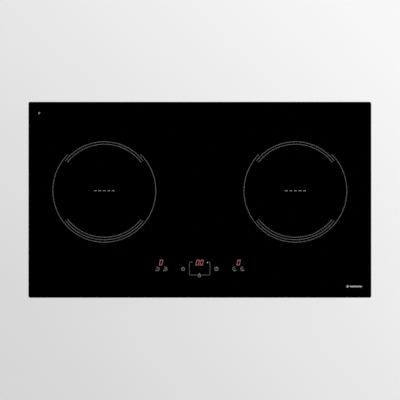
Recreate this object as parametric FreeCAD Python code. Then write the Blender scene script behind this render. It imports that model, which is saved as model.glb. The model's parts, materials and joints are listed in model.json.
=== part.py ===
"""Built-in induction cooktop with two cooking zones, all sizes in millimetres.

Frame: X to the right, Y to the back, Z up. The origin is the middle of the panel at the level of the
worktop, which is the underside of the worktop seal.
"""
import FreeCAD
import Part
import math
import os
from FreeCAD import Vector

# Panel
panel_length = 700.0
panel_depth = 400.0
panel_corner_radius = 4.0
glass_thickness = 4.0
glass_edge_round = 1.0
glass_back_bevel = 0.5
print_depth = 0.05
arc_sag = 0.025

# Seal, adhesive and the frame bonded under the glass
seal_height = 2.0
seal_width = 10.0
seal_set_in = 2.0
adhesive_height = 1.0
adhesive_width = 10.0
adhesive_set_in = 2.0
frame_sheet = 1.0
frame_ledge = 14.0
frame_drop = 14.0
frame_clearance = 0.25

# Lower case
rim_overhang = 20.0
case_drop = 54.0
case_wall = 1.0
case_lip = 0.5
case_corner_radius = 12.0
case_bend_radius = 2.0
floor_rib_radius = 2.5
floor_rib_length = 120.0
floor_rib_offsets = (-40.0, 0.0, 40.0)
louvre_width = 3.5
louvre_height = 22.0
louvre_pitch = 7.0
louvre_count = 9
intake_slot_width = 3.5
intake_slot_pitch = 6.0
intake_bridge = 1.5
plate_length = 80.0
plate_depth = 40.0
plate_thickness = 0.25

# Self-tapping screws
screw_radius = 1.9
screw_length = 8.0
screw_head_radius = 3.6
screw_head_height = 2.2
screw_recess_width = 0.9
screw_recess_length = 4.4
screw_recess_depth = 1.2
screw_clearance = 0.1
frame_screw_level = -7.0
frame_screw_spacing = 220.0

# Worktop clamps
clamp_width = 24.0
clamp_sheet = 1.5
clamp_reach = 17.0
clamp_grip = 30.0
clamp_travel = 7.0
clamp_edge = 2.6
clamp_bend_radius = 1.4
clamp_screw_spacing = 12.0
clamp_spacing = 200.0
clamp_slide_clearance = 0.1

# Cooking zones: printed rings, and the coil assemblies under them
zone_end_margin = 155.0
zone_setback = 18.5
zone_ring_radius = 105.0
zone_ring_step = 5.0
print_line = 1.0
outer_arc_gap = 90.0
inner_arc_span = 104.6
zone_tick_count = 5
zone_tick_length = 5.6
zone_tick_pitch = 9.2
zone_tick_width = 1.6

mica_thickness = 0.6
mica_gap = 0.1
wire_diameter = 2.4
wire_spacing = 0.1
coil_inner_radius = 24.0
coil_outer_radius = 91.5
carrier_plate = 2.0
carrier_rim = 3.0
carrier_margin = 2.5
ferrite_count = 6
ferrite_length = 58.0
ferrite_width = 12.0
ferrite_thickness = 5.0
ferrite_start_radius = 29.0
pocket_wall = 1.2
pocket_clearance = 0.1
shield_thickness = 1.0
coil_travel = 3.0
coil_spring_space = 12.0
coil_spring_radius = 5.2
coil_spring_wire = 0.9
coil_spring_turns = 5
spring_end_gap = 0.2
post_count = 3
post_circle_radius = 84.0
post_radius = 2.6
post_clearance = 0.4
post_head_radius = 3.7
post_head_height = 2.0
support_sheet = 1.2
support_length = 216.0
support_depth = 180.0
support_leg_width = 14.0
support_foot = 12.0
support_front_legs = (-100.0, 0.0)
support_rear_legs = (-100.0, 88.0)
sensor_radius = 7.8
sensor_cap_height = 5.8
sensor_bore_clearance = 0.8
sensor_stem_radius = 2.2
sensor_stem_length = 8.0
sensor_spring_radius = 5.0
sensor_spring_wire = 0.6
sensor_spring_turns = 7
sensor_spring_space = 12.0
sensor_gap = 0.2
hub_wall = 1.9
lead_radius = 1.05
lead_clearance = 0.1
lead_bend = 6.0
lead_offsets = (-28.0, -20.0)
lead_slot_margin = 1.5
lead_level = 10.0
lead_board_overlap = 8.0

# Power boards
board_length = 230.0
board_depth = 160.0
board_thickness = 1.6
board_height = 7.0
standoff_radius = 3.2
standoff_pin_radius = 1.5
standoff_head_radius = 2.8
standoff_head_height = 1.8
standoff_inset = 6.0
standoff_hole_clearance = 0.15
standoff_rivet_radius = 1.8
sink_width = 55.0
sink_clearance = 1.2
sink_length = 146.0
sink_base = 4.0
sink_height = 18.4
sink_fin = 1.6
sink_fin_count = 9
sink_flange = 3.0
transistor_width = 20.0
transistor_height = 15.0
transistor_thickness = 4.8
transistor_pin = 1.2
transistor_pin_pitch = 5.4
transistor_rise = 2.4
transistor_spacing = 40.0
capacitor_length = 26.0
capacitor_depth = 16.0
capacitor_height = 17.0
capacitor_round = 1.2
capacitor_pitch = 34.0
capacitor_count = 4
capacitor_row_offset = -46.0
capacitor_row_setback = -35.0
choke_radius = 12.0
choke_thickness = 5.5
choke_offset = -60.0
choke_setback = 30.0

# Blowers
fan_offset = 58.0
fan_front_gap = 67.0
fan_wall = 1.5
fan_height = 25.0
impeller_radius = 38.0
impeller_clearance = 4.0
scroll_step = 3.0
outlet_tongue = 8.0
outlet_reach = 48.0
inlet_radius = 30.0
inlet_lip = 1.6
blade_count = 33
blade_length = 7.0
blade_thickness = 0.8
blade_lean = 35.0
impeller_gap = 2.0
impeller_disc = 1.5
hub_radius = 15.0
hub_skin = 1.6
motor_radius = 12.0
motor_tip_gap = 1.5
shaft_radius = 1.5
shaft_clearance = 0.05

# Mains entry
terminal_count = 5
terminal_pitch = 12.0
terminal_wall = 2.0
terminal_depth = 24.0
terminal_base = 8.0
terminal_wall_height = 18.0
terminal_screw_radius = 3.4
terminal_screw_height = 3.0
terminal_setback = 38.0
gland_bore = 5.5
gland_body_radius = 8.0
gland_flange_radius = 11.0
gland_flange = 2.5
gland_body_length = 16.0
gland_level = -36.0
gland_wall_clearance = 0.2
gland_nut_radius = 11.5
gland_nut_height = 5.0
gland_thread_clearance = 0.05

# Touch control, measured from the front edge of the panel
touch_board_length = 206.0
touch_board_depth = 52.0
touch_board_front = 34.0
touch_board_level = 8.4
holder_wall = 1.6
holder_height = 4.0
holder_leg_radius = 3.0
holder_leg_inset = 12.0
key_spring_radius = 3.6
key_spring_wire = 0.5
key_spring_turns = 6
display_depth = 15.0
display_height = 7.4
display_margin = 1.0
digit_row = 71.9
key_row = 59.0
timer_row = 45.4
zone_digit_offset = 79.2
zone_key_offsets = (71.1, 87.2)
lock_offset = 34.2
timer_digit_pitch = 8.5
timer_digit_offset = -0.4
timer_key_offset = -0.8
timer_ring_radius = 3.4
timer_hand_rise = 1.0
lamp_offset = 15.6
lamp_radius = 1.5
lamp_light_radius = 1.15
digit_width = 6.3
digit_height = 11.4
digit_stroke = 1.3
digit_slant = 12.0
digit_gap = 0.25
key_ring_radius = 4.0
key_ring_line = 0.9
key_ring_start = -150.0
key_ring_sweep = 255.0
key_sign_length = 3.0
key_sign_width = 0.8
lock_ring_radius = 3.8
power_key_offset = 33.9
power_bar_rise = 0.9
bracket_half_width = 21.0
bracket_offset = -0.3
bracket_line = 0.8
bracket_radius = 3.0
bracket_stub_left = 5.9
bracket_stub_right = 3.1
bracket_break = 4.6
bracket_rise = 1.1
mark_dot_radius = 2.6
mark_bar_length = 25.0
mark_bar_width = 3.0
mark_end_margin = 19.0
mark_edge_margin = 23.0
mark_gap = 2.4
oval_length = 5.0
oval_width = 2.6
oval_slant = 35.0
oval_end_margin = 22.0

# Levels and half sizes that the sizes above give
glass_bottom = seal_height
glass_top = glass_bottom + glass_thickness
frame_top = glass_bottom - adhesive_height
case_length = panel_length - 2 * rim_overhang
case_depth = panel_depth - 2 * rim_overhang
case_bottom = -case_drop
floor_top = case_bottom + case_wall
wall_x = case_length / 2
wall_y = case_depth / 2
inner_x = wall_x - case_wall
inner_y = wall_y - case_wall
front_edge = -panel_depth / 2
zone_x = panel_length / 2 - zone_end_margin
zone_y = zone_setback

mica_bottom = glass_bottom - mica_gap - mica_thickness
coil_top = mica_bottom - wire_spacing
carrier_top = coil_top - wire_diameter
carrier_bottom = carrier_top - carrier_plate
ferrite_bottom = carrier_bottom - ferrite_thickness
shield_bottom = ferrite_bottom - shield_thickness
support_top = shield_bottom - coil_spring_space
support_bottom = support_top - support_sheet
carrier_radius = coil_outer_radius + carrier_margin + carrier_rim
sensor_top = glass_bottom - sensor_gap
sensor_cap_bottom = sensor_top - sensor_cap_height
hub_floor = sensor_cap_bottom - sensor_spring_space
hub_inner = sensor_radius + sensor_bore_clearance
hub_outer = hub_inner + hub_wall
post_angles = [60.0 + 360.0 / post_count * i for i in range(post_count)]
ferrite_angles = [30.0 + 360.0 / ferrite_count * i for i in range(ferrite_count)]

board_bottom = floor_top + board_height
board_top = board_bottom + board_thickness
sink_x1 = zone_x + board_length / 2 - standoff_inset - standoff_head_radius - sink_clearance
sink_x0 = sink_x1 - sink_width
fan_x = zone_x + fan_offset
fan_y = -inner_y + fan_front_gap
fan_top = floor_top + fan_height
cover_top = floor_top + fan_wall
touch_board_top = glass_bottom - touch_board_level
touch_board_bottom = touch_board_top - board_thickness
touch_board_y = front_edge + touch_board_front + touch_board_depth / 2
clamp_foot_top = -clamp_grip
clamp_slot_half = clamp_travel + screw_radius + screw_clearance
clamp_screw_level = clamp_foot_top + clamp_edge + clamp_slot_half
clamp_top = clamp_screw_level + clamp_slot_half + clamp_edge
digit_y = front_edge + digit_row
key_y = front_edge + key_row
timer_y = front_edge + timer_row


def box(x0, x1, y0, y1, z0, z1):
    """Block between two limits on each axis."""
    return Part.makeBox(x1 - x0, y1 - y0, z1 - z0, Vector(x0, y0, z0))


def rod(x, y, z0, z1, radius):
    """Upright cylinder."""
    return Part.makeCylinder(radius, z1 - z0, Vector(x, y, z0))


def tube(x, y, z0, z1, outer, inner):
    """Upright ring or pipe."""
    return rod(x, y, z0, z1, outer).cut(rod(x, y, z0, z1, inner))


def joined(shapes):
    """One solid from shapes that touch or overlap."""
    return shapes[0].multiFuse(shapes[1:]).removeSplitter()


def group(shapes):
    """Separate solids kept in one piece of the assembly."""
    return Part.makeCompound(shapes)


def turned(shape, angle, x=0.0, y=0.0):
    """Copy turned about an upright axis through x, y."""
    copy = shape.copy()
    copy.rotate(Vector(x, y, 0), Vector(0, 0, 1), angle)
    return copy


def moved(shape, x, y, z=0.0):
    """Copy shifted by x, y, z."""
    copy = shape.copy()
    copy.translate(Vector(x, y, z))
    return copy


def prism(points, z0, z1):
    """Upright block over a polygon."""
    outline = Part.makePolygon([Vector(x, y, z0) for x, y in points + points[:1]])
    return Part.Face(outline).extrude(Vector(0, 0, z1 - z0))


def rounded_slab(length, depth, radius, z0, z1):
    """Flat slab with rounded corners, centred on the origin."""
    slab = box(-length / 2, length / 2, -depth / 2, depth / 2, z0, z1)
    upright = [e for e in slab.Edges if abs(e.BoundBox.ZLength - (z1 - z0)) < 1e-6]
    return slab.makeFillet(radius, upright)


def rounded_ring(length, depth, radius, width, z0, z1):
    """Rectangular ring of one width with rounded corners."""
    inner_radius = max(radius - width, glass_edge_round)
    hole = rounded_slab(length - 2 * width, depth - 2 * width, inner_radius, z0, z1)
    return rounded_slab(length, depth, radius, z0, z1).cut(hole)


def stadium(x, y, z0, z1, length, width):
    """Upright block with round ends, long along Y."""
    straight = (length - width) / 2
    middle = box(x - width / 2, x + width / 2, y - straight, y + straight, z0, z1)
    ends = [rod(x, y + side * straight, z0, z1, width / 2) for side in (-1, 1)]
    return joined([middle] + ends)


def arc_edges(x, y, z, radius, angles):
    """Arcs from each angle to the next, in degrees."""
    places = [
        Vector(x + radius * math.cos(math.radians(a)), y + radius * math.sin(math.radians(a)), z)
        for a in angles
    ]
    return [Part.Arc(*places[i:i + 3]).toShape() for i in range(0, len(places) - 2, 2)]


def arc_band(x, y, radius, line, start, sweep, z0, z1):
    """Part of a flat ring; radius is the middle of the line, angles are in degrees.

    The arc is drawn in short spans, so that a mesh of it stays close to the circle: a straight
    line across one span lies within arc_sag of it.
    """
    span = 2 * math.degrees(math.acos(1 - arc_sag / (radius + line / 2)))
    spans = math.ceil(sweep / span)
    angles = [start + sweep * i / (2 * spans) for i in range(2 * spans + 1)]
    outer = arc_edges(x, y, z0, radius + line / 2, angles)
    inner = arc_edges(x, y, z0, radius - line / 2, angles[::-1])
    ends = [
        Part.makeLine(outer[-1].Vertexes[-1].Point, inner[0].Vertexes[0].Point),
        Part.makeLine(inner[-1].Vertexes[-1].Point, outer[0].Vertexes[0].Point),
    ]
    outline = Part.Wire(outer + ends[:1] + inner + ends[1:])
    return Part.Face(outline).extrude(Vector(0, 0, z1 - z0))


def revolved(points):
    """Solid turned about the Z axis from an outline of (radius, height) points."""
    outline = Part.makePolygon([Vector(r, 0, z) for r, z in points + points[:1]])
    return Part.Face(outline).revolve(Vector(0, 0, 0), Vector(0, 0, 1), 360)


def coil_spring(x, y, z0, z1, radius, wire, turns):
    """Space of a round-wire spring between two levels: a sleeve with one ridge for each turn."""
    low = z0 + spring_end_gap
    high = z1 - spring_end_gap
    pitch = (high - low) / turns
    points = [(radius - wire / 2, high), (radius - wire / 2, low), (radius, low)]
    for i in range(turns):
        points.append((radius + wire / 2, low + (i + 0.5) * pitch))
        points.append((radius, low + (i + 1) * pitch))
    return moved(revolved(points), x, y)


def wire_run(points, radius, bend):
    """Round wire through the points, with each corner rounded by one bend."""
    edges = []
    start = points[0]
    for corner, after in zip(points[1:-1], points[2:]):
        back = (start - corner).normalize()
        ahead = (after - corner).normalize()
        half_turn = back.getAngle(ahead) / 2
        reach = bend / math.tan(half_turn)
        entry = corner + back * reach
        leave = corner + ahead * reach
        centre_way = (back + ahead).normalize()
        middle = corner + centre_way * (bend / math.sin(half_turn) - bend)
        edges.append(Part.makeLine(start, entry))
        edges.append(Part.Arc(entry, middle, leave).toShape())
        start = leave
    edges.append(Part.makeLine(start, points[-1]))
    along = points[1] - points[0]
    section = Part.Wire(Part.makeCircle(radius, points[0], along))
    return Part.Wire(edges).makePipeShell([section], True, True)


def save(name, shape):
    shape.exportStep("parts/" + name + ".step")


def save_both_sides(name, shape):
    """Right-hand piece as built, and its mirror image on the left."""
    save("right_" + name, shape)
    save("left_" + name, shape.mirror(Vector(0, 0, 0), Vector(1, 0, 0)))


# Screws and where they go


def screw():
    """Pan-head screw along Z: the head stands on the plane z = 0 and the shank points down."""
    shank = rod(0, 0, -screw_length, 0, screw_radius)
    head = rod(0, 0, 0, screw_head_height, screw_head_radius)
    crown = [e for e in head.Edges if e.BoundBox.ZMin > screw_head_height / 2]
    head = head.makeFillet(screw_recess_width, crown)
    half = screw_recess_length / 2
    arm = screw_recess_width / 2
    low = screw_head_height - screw_recess_depth
    cross = [
        box(-half, half, -arm, arm, low, screw_head_height),
        box(-arm, arm, -half, half, low, screw_head_height),
    ]
    return joined([shank, head]).cut(joined(cross))


def frame_screw_places():
    """Points on the outside of the case walls, each with the direction that its screw's head faces."""
    places = []
    for side in (-1, 1):
        for step in (-1, 0, 1):
            x = step * frame_screw_spacing
            places.append((Vector(x, side * wall_y, frame_screw_level), Vector(0, side, 0)))
        places.append((Vector(side * wall_x, 0, frame_screw_level), Vector(side, 0, 0)))
    return places


def clamp_screw_places():
    """The same for the worktop clamps, two screws to a clamp, with the heads outside the bracket."""
    places = []
    for side in (-1, 1):
        for end in (-1, 1):
            for half in (-1, 1):
                x = side * (wall_x + clamp_sheet + 2 * clamp_slide_clearance)
                y = end * clamp_spacing / 2 + half * clamp_screw_spacing / 2
                places.append((Vector(x, y, clamp_screw_level), Vector(side, 0, 0)))
    return places


def screws():
    pieces = []
    pattern = screw()
    for point, way in frame_screw_places() + clamp_screw_places():
        piece = pattern.copy()
        piece.Placement = FreeCAD.Placement(point, FreeCAD.Rotation(Vector(0, 0, 1), way))
        pieces.append(piece)
    return group(pieces)


def screw_holes():
    """Round holes along every screw, through the sheets that it holds."""
    radius = screw_radius + screw_clearance
    holes = []
    for point, way in frame_screw_places() + clamp_screw_places():
        holes.append(Part.makeCylinder(radius, screw_length, point - way * screw_length, way))
    return group(holes)


# Prints in the glass


def zone_print():
    """Rings round the right-hand zone and a row of short ticks at its centre."""
    z0 = glass_top - print_depth
    ring_start = 90 + outer_arc_gap / 2
    pieces = [
        arc_band(zone_x, zone_y, zone_ring_radius, print_line, ring_start,
                 360 - outer_arc_gap, z0, glass_top)
    ]
    for step in (1, 2):
        radius = zone_ring_radius - step * zone_ring_step
        for middle in (90, 270):
            start = middle - inner_arc_span / 2
            pieces.append(arc_band(zone_x, zone_y, radius, print_line, start,
                                   inner_arc_span, z0, glass_top))
    for i in range(zone_tick_count):
        x = zone_x + (i - (zone_tick_count - 1) / 2) * zone_tick_pitch
        tick = stadium(0, 0, z0, glass_top, zone_tick_length, zone_tick_width)
        pieces.append(moved(turned(tick, 90), x, zone_y))
    return group(pieces)


def zone_keys():
    """Minus and plus keys of the right-hand zone: open rings with a sign in each."""
    z0 = glass_top - print_depth
    pieces = []
    start = 180 - key_ring_start - key_ring_sweep
    half = key_sign_length / 2
    arm = key_sign_width / 2
    for x in zone_key_offsets:
        pieces.append(arc_band(x, key_y, key_ring_radius, key_ring_line, start,
                               key_ring_sweep, z0, glass_top))
        sign = box(x - half, x + half, key_y - arm, key_y + arm, z0, glass_top)
        if x == max(zone_key_offsets):
            upright = box(x - arm, x + arm, key_y - half, key_y + half, z0, glass_top)
            sign = joined([sign, upright])
        pieces.append(sign)
    return group(pieces)


def mirrored_keys():
    """Left-hand keys: the rings are mirrored, with minus still left of plus."""
    z0 = glass_top - print_depth
    pieces = []
    half = key_sign_length / 2
    arm = key_sign_width / 2
    for offset in zone_key_offsets:
        x = -offset
        pieces.append(arc_band(x, key_y, key_ring_radius, key_ring_line, key_ring_start,
                               key_ring_sweep, z0, glass_top))
        sign = box(x - half, x + half, key_y - arm, key_y + arm, z0, glass_top)
        if offset == min(zone_key_offsets):
            upright = box(x - arm, x + arm, key_y - half, key_y + half, z0, glass_top)
            sign = joined([sign, upright])
        pieces.append(sign)
    return group(pieces)


def bracket_line_print():
    """Line frame round the timer, open at the top and broken for the timer key at the bottom."""
    z0 = glass_top - print_depth
    height = digit_y - timer_y
    top = digit_y + bracket_rise
    bottom = timer_y + bracket_rise
    frame = rounded_ring(2 * bracket_half_width + bracket_line, height + bracket_line,
                         bracket_radius, bracket_line, z0, glass_top)
    frame = moved(frame, bracket_offset, (top + bottom) / 2)
    top_left = bracket_offset - bracket_half_width + bracket_stub_left
    top_right = bracket_offset + bracket_half_width - bracket_stub_right
    openings = [
        box(top_left, top_right, top - bracket_line, top + bracket_line, z0, glass_top),
        box(timer_key_offset - bracket_break, timer_key_offset + bracket_break,
            bottom - bracket_line, bottom + bracket_line, z0, glass_top),
    ]
    return frame.cut(group(openings))


def control_print():
    """Every key symbol, the timer frame, and the small marks in two corners."""
    z0 = glass_top - print_depth
    arm = key_sign_width / 2
    lock_line = 2 * key_ring_line - digit_gap
    power_reach = key_ring_radius + power_bar_rise
    timer_reach = timer_ring_radius + timer_hand_rise
    dot_x = panel_length / 2 - mark_end_margin - mark_bar_length - mark_gap - mark_dot_radius
    mark_y = front_edge + mark_edge_margin
    bar = stadium(0, 0, z0, glass_top, mark_bar_length, mark_bar_width)
    bar_x = panel_length / 2 - mark_end_margin - mark_bar_length / 2
    oval = turned(stadium(0, 0, z0, glass_top, oval_length, oval_width), -oval_slant)
    pieces = [
        zone_keys(),
        mirrored_keys(),
        bracket_line_print(),
        tube(-lock_offset, key_y, z0, glass_top, lock_ring_radius, lock_ring_radius - lock_line),
        joined([
            tube(power_key_offset, key_y, z0, glass_top, key_ring_radius,
                 key_ring_radius - key_ring_line),
            box(power_key_offset - arm, power_key_offset + arm, key_y - 3 * arm,
                key_y + power_reach, z0, glass_top),
        ]),
        joined([
            tube(timer_key_offset, timer_y, z0, glass_top, timer_ring_radius,
                 timer_ring_radius - key_ring_line),
            box(timer_key_offset - arm, timer_key_offset + arm, timer_y - arm,
                timer_y + timer_reach, z0, glass_top),
        ]),
        rod(dot_x, mark_y, z0, glass_top, mark_dot_radius),
        moved(turned(bar, 90), bar_x, mark_y),
        moved(oval, -panel_length / 2 + oval_end_margin, panel_depth / 2 - mark_edge_margin),
    ]
    solids = []
    for piece in pieces:
        solids.extend(piece.Solids)
    return group(solids)


def digit_zero(x):
    """Slanted seven-segment 0: six segments round an open middle."""
    z0 = glass_top - print_depth
    lean = math.tan(math.radians(digit_slant))
    half_w = digit_width / 2
    half_h = digit_height / 2
    side = digit_stroke

    def segment(x0, x1, y0, y1):
        corners = [(x0, y0), (x1, y0), (x1, y1), (x0, y1)]
        return prism([(x + px + lean * py, digit_y + py) for px, py in corners], z0, glass_top)

    pieces = []
    for low in (-half_h, half_h - side):
        pieces.append(segment(-half_w + side + digit_gap, half_w - side - digit_gap, low,
                              low + side))
    for left in (-half_w, half_w - side):
        pieces.append(segment(left, left + side, digit_gap, half_h))
        pieces.append(segment(left, left + side, -half_h, -digit_gap))
    return pieces


def lit_digits():
    """The light of the displays in the glass: a digit for each zone, two for the timer, and its lamp."""
    pieces = [rod(lamp_offset, digit_y, glass_top - print_depth, glass_top, lamp_light_radius)]
    timer_left = timer_digit_offset - timer_digit_pitch / 2
    for x in (-zone_digit_offset, timer_left, timer_left + timer_digit_pitch, zone_digit_offset):
        pieces.extend(digit_zero(x))
    return group(pieces)


def glass_panel():
    """Ceramic glass with a rounded upper edge, with the prints fired flush into its surface."""
    slab = rounded_slab(panel_length, panel_depth, panel_corner_radius, glass_bottom, glass_top)
    upper = [e for e in slab.Edges if e.BoundBox.ZMin > glass_top - 1e-6]
    slab = slab.makeFillet(glass_edge_round, upper)
    lower = [e for e in slab.Edges if e.BoundBox.ZMax < glass_bottom + 1e-6]
    slab = slab.makeChamfer(glass_back_bevel, lower)
    zone = zone_print()
    prints = zone.Solids + zone.mirror(Vector(0, 0, 0), Vector(1, 0, 0)).Solids
    prints += control_print().Solids + lit_digits().Solids
    return slab.cut(group(prints))


# Seal, adhesive and support frame


def worktop_seal():
    """Foam strip under the edge of the glass; its underside lies on the worktop."""
    length = panel_length - 2 * seal_set_in
    depth = panel_depth - 2 * seal_set_in
    radius = panel_corner_radius - seal_set_in
    return rounded_ring(length, depth, radius, seal_width, 0, glass_bottom)


def glass_frame():
    """Sheet angle round the panel: a ledge bonded to the glass and a leg just inside the case."""
    length = 2 * (inner_x - frame_clearance)
    depth = 2 * (inner_y - frame_clearance)
    radius = case_corner_radius - case_wall - frame_clearance
    leg = rounded_ring(length, depth, radius, frame_sheet, -frame_drop, frame_top)
    ledge = rounded_ring(length, depth, radius, frame_ledge, frame_top - frame_sheet, frame_top)
    return joined([leg, ledge]).cut(screw_holes())


def glass_adhesive():
    """Silicone bead between the frame's ledge and the glass."""
    set_in = frame_clearance + adhesive_set_in
    radius = case_corner_radius - case_wall - set_in
    return rounded_ring(2 * (inner_x - set_in), 2 * (inner_y - set_in), radius, adhesive_width,
                        frame_top, glass_bottom)


# Lower case


def intake_slots():
    """Slots in the floor under the right-hand blower, kept inside a circle."""
    reach = inlet_radius
    count = int(reach / intake_slot_pitch)
    slots = []
    for i in range(-count, count + 1):
        x = i * intake_slot_pitch
        half = math.sqrt(reach ** 2 - x ** 2)
        if half < 2 * intake_slot_width:
            continue
        for side in (-1, 1):
            length = half - intake_bridge
            y = fan_y + side * (intake_bridge + length / 2)
            slots.append(stadium(fan_x + x, y, case_bottom, floor_top, length,
                                 intake_slot_width))
    return slots


def louvres():
    """Upright slots in the rear wall behind the right-hand heat sink."""
    middle = (sink_x0 + sink_x1) / 2
    z0 = board_top
    slots = []
    for i in range(louvre_count):
        x = middle + (i - (louvre_count - 1) / 2) * louvre_pitch
        slots.append(box(x - louvre_width / 2, x + louvre_width / 2, inner_y, wall_y,
                         z0, z0 + louvre_height))
    return slots


def floor_rib(x):
    """Bead pressed up in the floor: what it adds inside and what it takes away outside."""
    half = floor_rib_length / 2
    start = Vector(x, zone_y - half, case_bottom)
    along = Vector(0, 1, 0)
    outer = Part.makeCylinder(floor_rib_radius + case_wall, floor_rib_length, start, along)
    above = box(x - floor_rib_length, x + floor_rib_length, start.y, start.y + floor_rib_length,
                case_bottom, 0)
    inset = Vector(x, start.y + case_wall, case_bottom)
    inner = Part.makeCylinder(floor_rib_radius, floor_rib_length - 2 * case_wall, inset, along)
    return outer.common(above), inner


def rating_plate_block():
    half = plate_length / 2
    y0 = zone_y + floor_rib_length / 2 + case_corner_radius
    return box(-half, half, y0, y0 + plate_depth, case_bottom, case_bottom + plate_thickness)


def bent_at_the_bottom(slab, radius):
    """Slab with its lowest edges rounded, as where a sheet is drawn into a tray."""
    level = slab.BoundBox.ZMin
    return slab.makeFillet(radius, [e for e in slab.Edges if e.BoundBox.ZMax < level + 1e-6])


def lower_case():
    """Pressed steel tray with air slots, cable hole, screw holes and stiffening beads."""
    tray = rounded_slab(case_length, case_depth, case_corner_radius, case_bottom, case_lip)
    tray = bent_at_the_bottom(tray, case_bend_radius)
    hollow = rounded_slab(2 * inner_x, 2 * inner_y, case_corner_radius - case_wall, floor_top,
                          case_lip)
    tray = tray.cut(bent_at_the_bottom(hollow, case_bend_radius - case_wall))
    ribs = [floor_rib(x) for x in floor_rib_offsets]
    tray = joined([tray] + [added for added, taken in ribs])
    right = group(intake_slots() + louvres())
    cable_hole = Part.makeCylinder(gland_body_radius + gland_wall_clearance, case_wall,
                                   Vector(0, inner_y, gland_level), Vector(0, 1, 0))
    taken = [taken for added, taken in ribs]
    taken += right.Solids
    taken += right.mirror(Vector(0, 0, 0), Vector(1, 0, 0)).Solids
    taken += screw_holes().Solids
    taken += [cable_hole, rating_plate_block()]
    for side in (-1, 1):
        for x, y in standoff_places():
            taken.append(rod(side * x, y, case_bottom, floor_top, standoff_rivet_radius))
    for x, y in holder_leg_places():
        taken.append(rod(x, y, case_bottom, floor_top, standoff_rivet_radius))
    return tray.cut(group(taken))


# Worktop clamps


def worktop_clamp():
    """Right-hand bracket at y = 0: a slotted plate on the case wall and a foot under the worktop."""
    x0 = wall_x + clamp_slide_clearance
    x1 = x0 + clamp_sheet
    half = clamp_width / 2
    foot_bottom = clamp_foot_top - clamp_sheet
    plate = box(x0, x1, -half, half, foot_bottom, clamp_top)
    foot = box(x0, x0 + clamp_reach, -half, half, foot_bottom, clamp_foot_top)
    bracket = joined([plate, foot])
    bend = []
    for edge in bracket.Edges:
        middle = edge.CenterOfMass
        outside = abs(middle.x - x0) < 1e-6 and abs(middle.z - foot_bottom) < 1e-6
        if abs(edge.BoundBox.YLength - clamp_width) < 1e-6 and outside:
            bend.append(edge)
    bracket = bracket.makeFillet(clamp_bend_radius, bend)
    width = 2 * (screw_radius + screw_clearance)
    for side in (-1, 1):
        y = side * clamp_screw_spacing / 2
        slot = stadium(0, 0, 0, 2 * clamp_sheet, 2 * clamp_slot_half, width)
        slot.rotate(Vector(0, 0, 0), Vector(0, 1, 0), 90)
        slot.rotate(Vector(0, 0, 0), Vector(1, 0, 0), 90)
        bracket = bracket.cut(moved(slot, wall_x, y, clamp_screw_level))
    return bracket


# Coil assembly of the right-hand zone


def on_circle(radius, angle):
    """Point at a distance and angle from the zone's centre."""
    turn = math.radians(angle)
    return zone_x + radius * math.cos(turn), zone_y + radius * math.sin(turn)


def mica_sheet():
    return tube(zone_x, zone_y, mica_bottom, mica_bottom + mica_thickness, carrier_radius,
                sensor_radius + sensor_bore_clearance)


def coil_winding():
    """Flat winding, one layer of round wire: a turned solid with one ridge for each turn."""
    pitch = wire_diameter + wire_spacing
    turns = int((coil_outer_radius - coil_inner_radius) / pitch)
    inner = coil_outer_radius - turns * pitch
    valley = coil_top - wire_diameter / 2
    points = [(coil_outer_radius, carrier_top), (inner, carrier_top), (inner, valley)]
    for i in range(turns):
        points.append((inner + (i + 0.5) * pitch, coil_top))
        points.append((inner + (i + 1) * pitch, valley))
    return moved(revolved(points), zone_x, zone_y)


def ferrite_block(grow, angle):
    """Space of one ferrite bar, grown sideways and lengthwise for its pocket."""
    start = ferrite_start_radius - grow
    block = box(zone_x + start, zone_x + start + ferrite_length + 2 * grow,
                zone_y - ferrite_width / 2 - grow, zone_y + ferrite_width / 2 + grow,
                ferrite_bottom, carrier_bottom)
    return turned(block, angle, zone_x, zone_y)


def ferrite_bars():
    return group([ferrite_block(0, angle) for angle in ferrite_angles])


def coil_carrier():
    """Moulded disc with a rim, ferrite pockets, a sensor hub and three guide posts."""
    rim_top = mica_bottom - wire_spacing
    solids = [
        rod(zone_x, zone_y, carrier_bottom, carrier_top, carrier_radius),
        tube(zone_x, zone_y, carrier_bottom, rim_top, carrier_radius,
             carrier_radius - carrier_rim),
        rod(zone_x, zone_y, hub_floor - hub_wall, rim_top, hub_outer),
    ]
    for angle in ferrite_angles:
        solids.append(ferrite_block(pocket_clearance + pocket_wall, angle))
    head_top = support_bottom - coil_travel
    for angle in post_angles:
        x, y = on_circle(post_circle_radius, angle)
        solids.append(rod(x, y, head_top - post_head_height, carrier_bottom, post_radius))
        solids.append(rod(x, y, head_top - post_head_height, head_top, post_head_radius))
    taken = [ferrite_block(pocket_clearance, angle) for angle in ferrite_angles]
    taken.append(rod(zone_x, zone_y, hub_floor, rim_top, hub_inner))
    taken.append(rod(zone_x, zone_y, hub_floor - hub_wall, hub_floor, sensor_stem_radius))
    slot_start = zone_x + min(lead_offsets) - lead_radius - lead_slot_margin
    slot_end = zone_x + max(lead_offsets) + lead_radius + lead_slot_margin
    taken.append(box(slot_start, slot_end, zone_y - carrier_radius - carrier_rim,
                     zone_y - coil_outer_radius, carrier_top, rim_top))
    return joined(solids).cut(group(taken))


def coil_shield():
    """Aluminium plate under the ferrites."""
    plate = rod(zone_x, zone_y, shield_bottom, ferrite_bottom, carrier_radius)
    holes = [rod(zone_x, zone_y, shield_bottom, ferrite_bottom, hub_outer + post_clearance)]
    for angle in post_angles:
        x, y = on_circle(post_circle_radius, angle)
        holes.append(rod(x, y, shield_bottom, ferrite_bottom, post_radius + post_clearance))
    return plate.cut(group(holes))


def coil_springs():
    pieces = []
    for angle in post_angles:
        x, y = on_circle(post_circle_radius, angle)
        pieces.append(coil_spring(x, y, support_top, shield_bottom, coil_spring_radius,
                                  coil_spring_wire, coil_spring_turns))
    return group(pieces)


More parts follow.
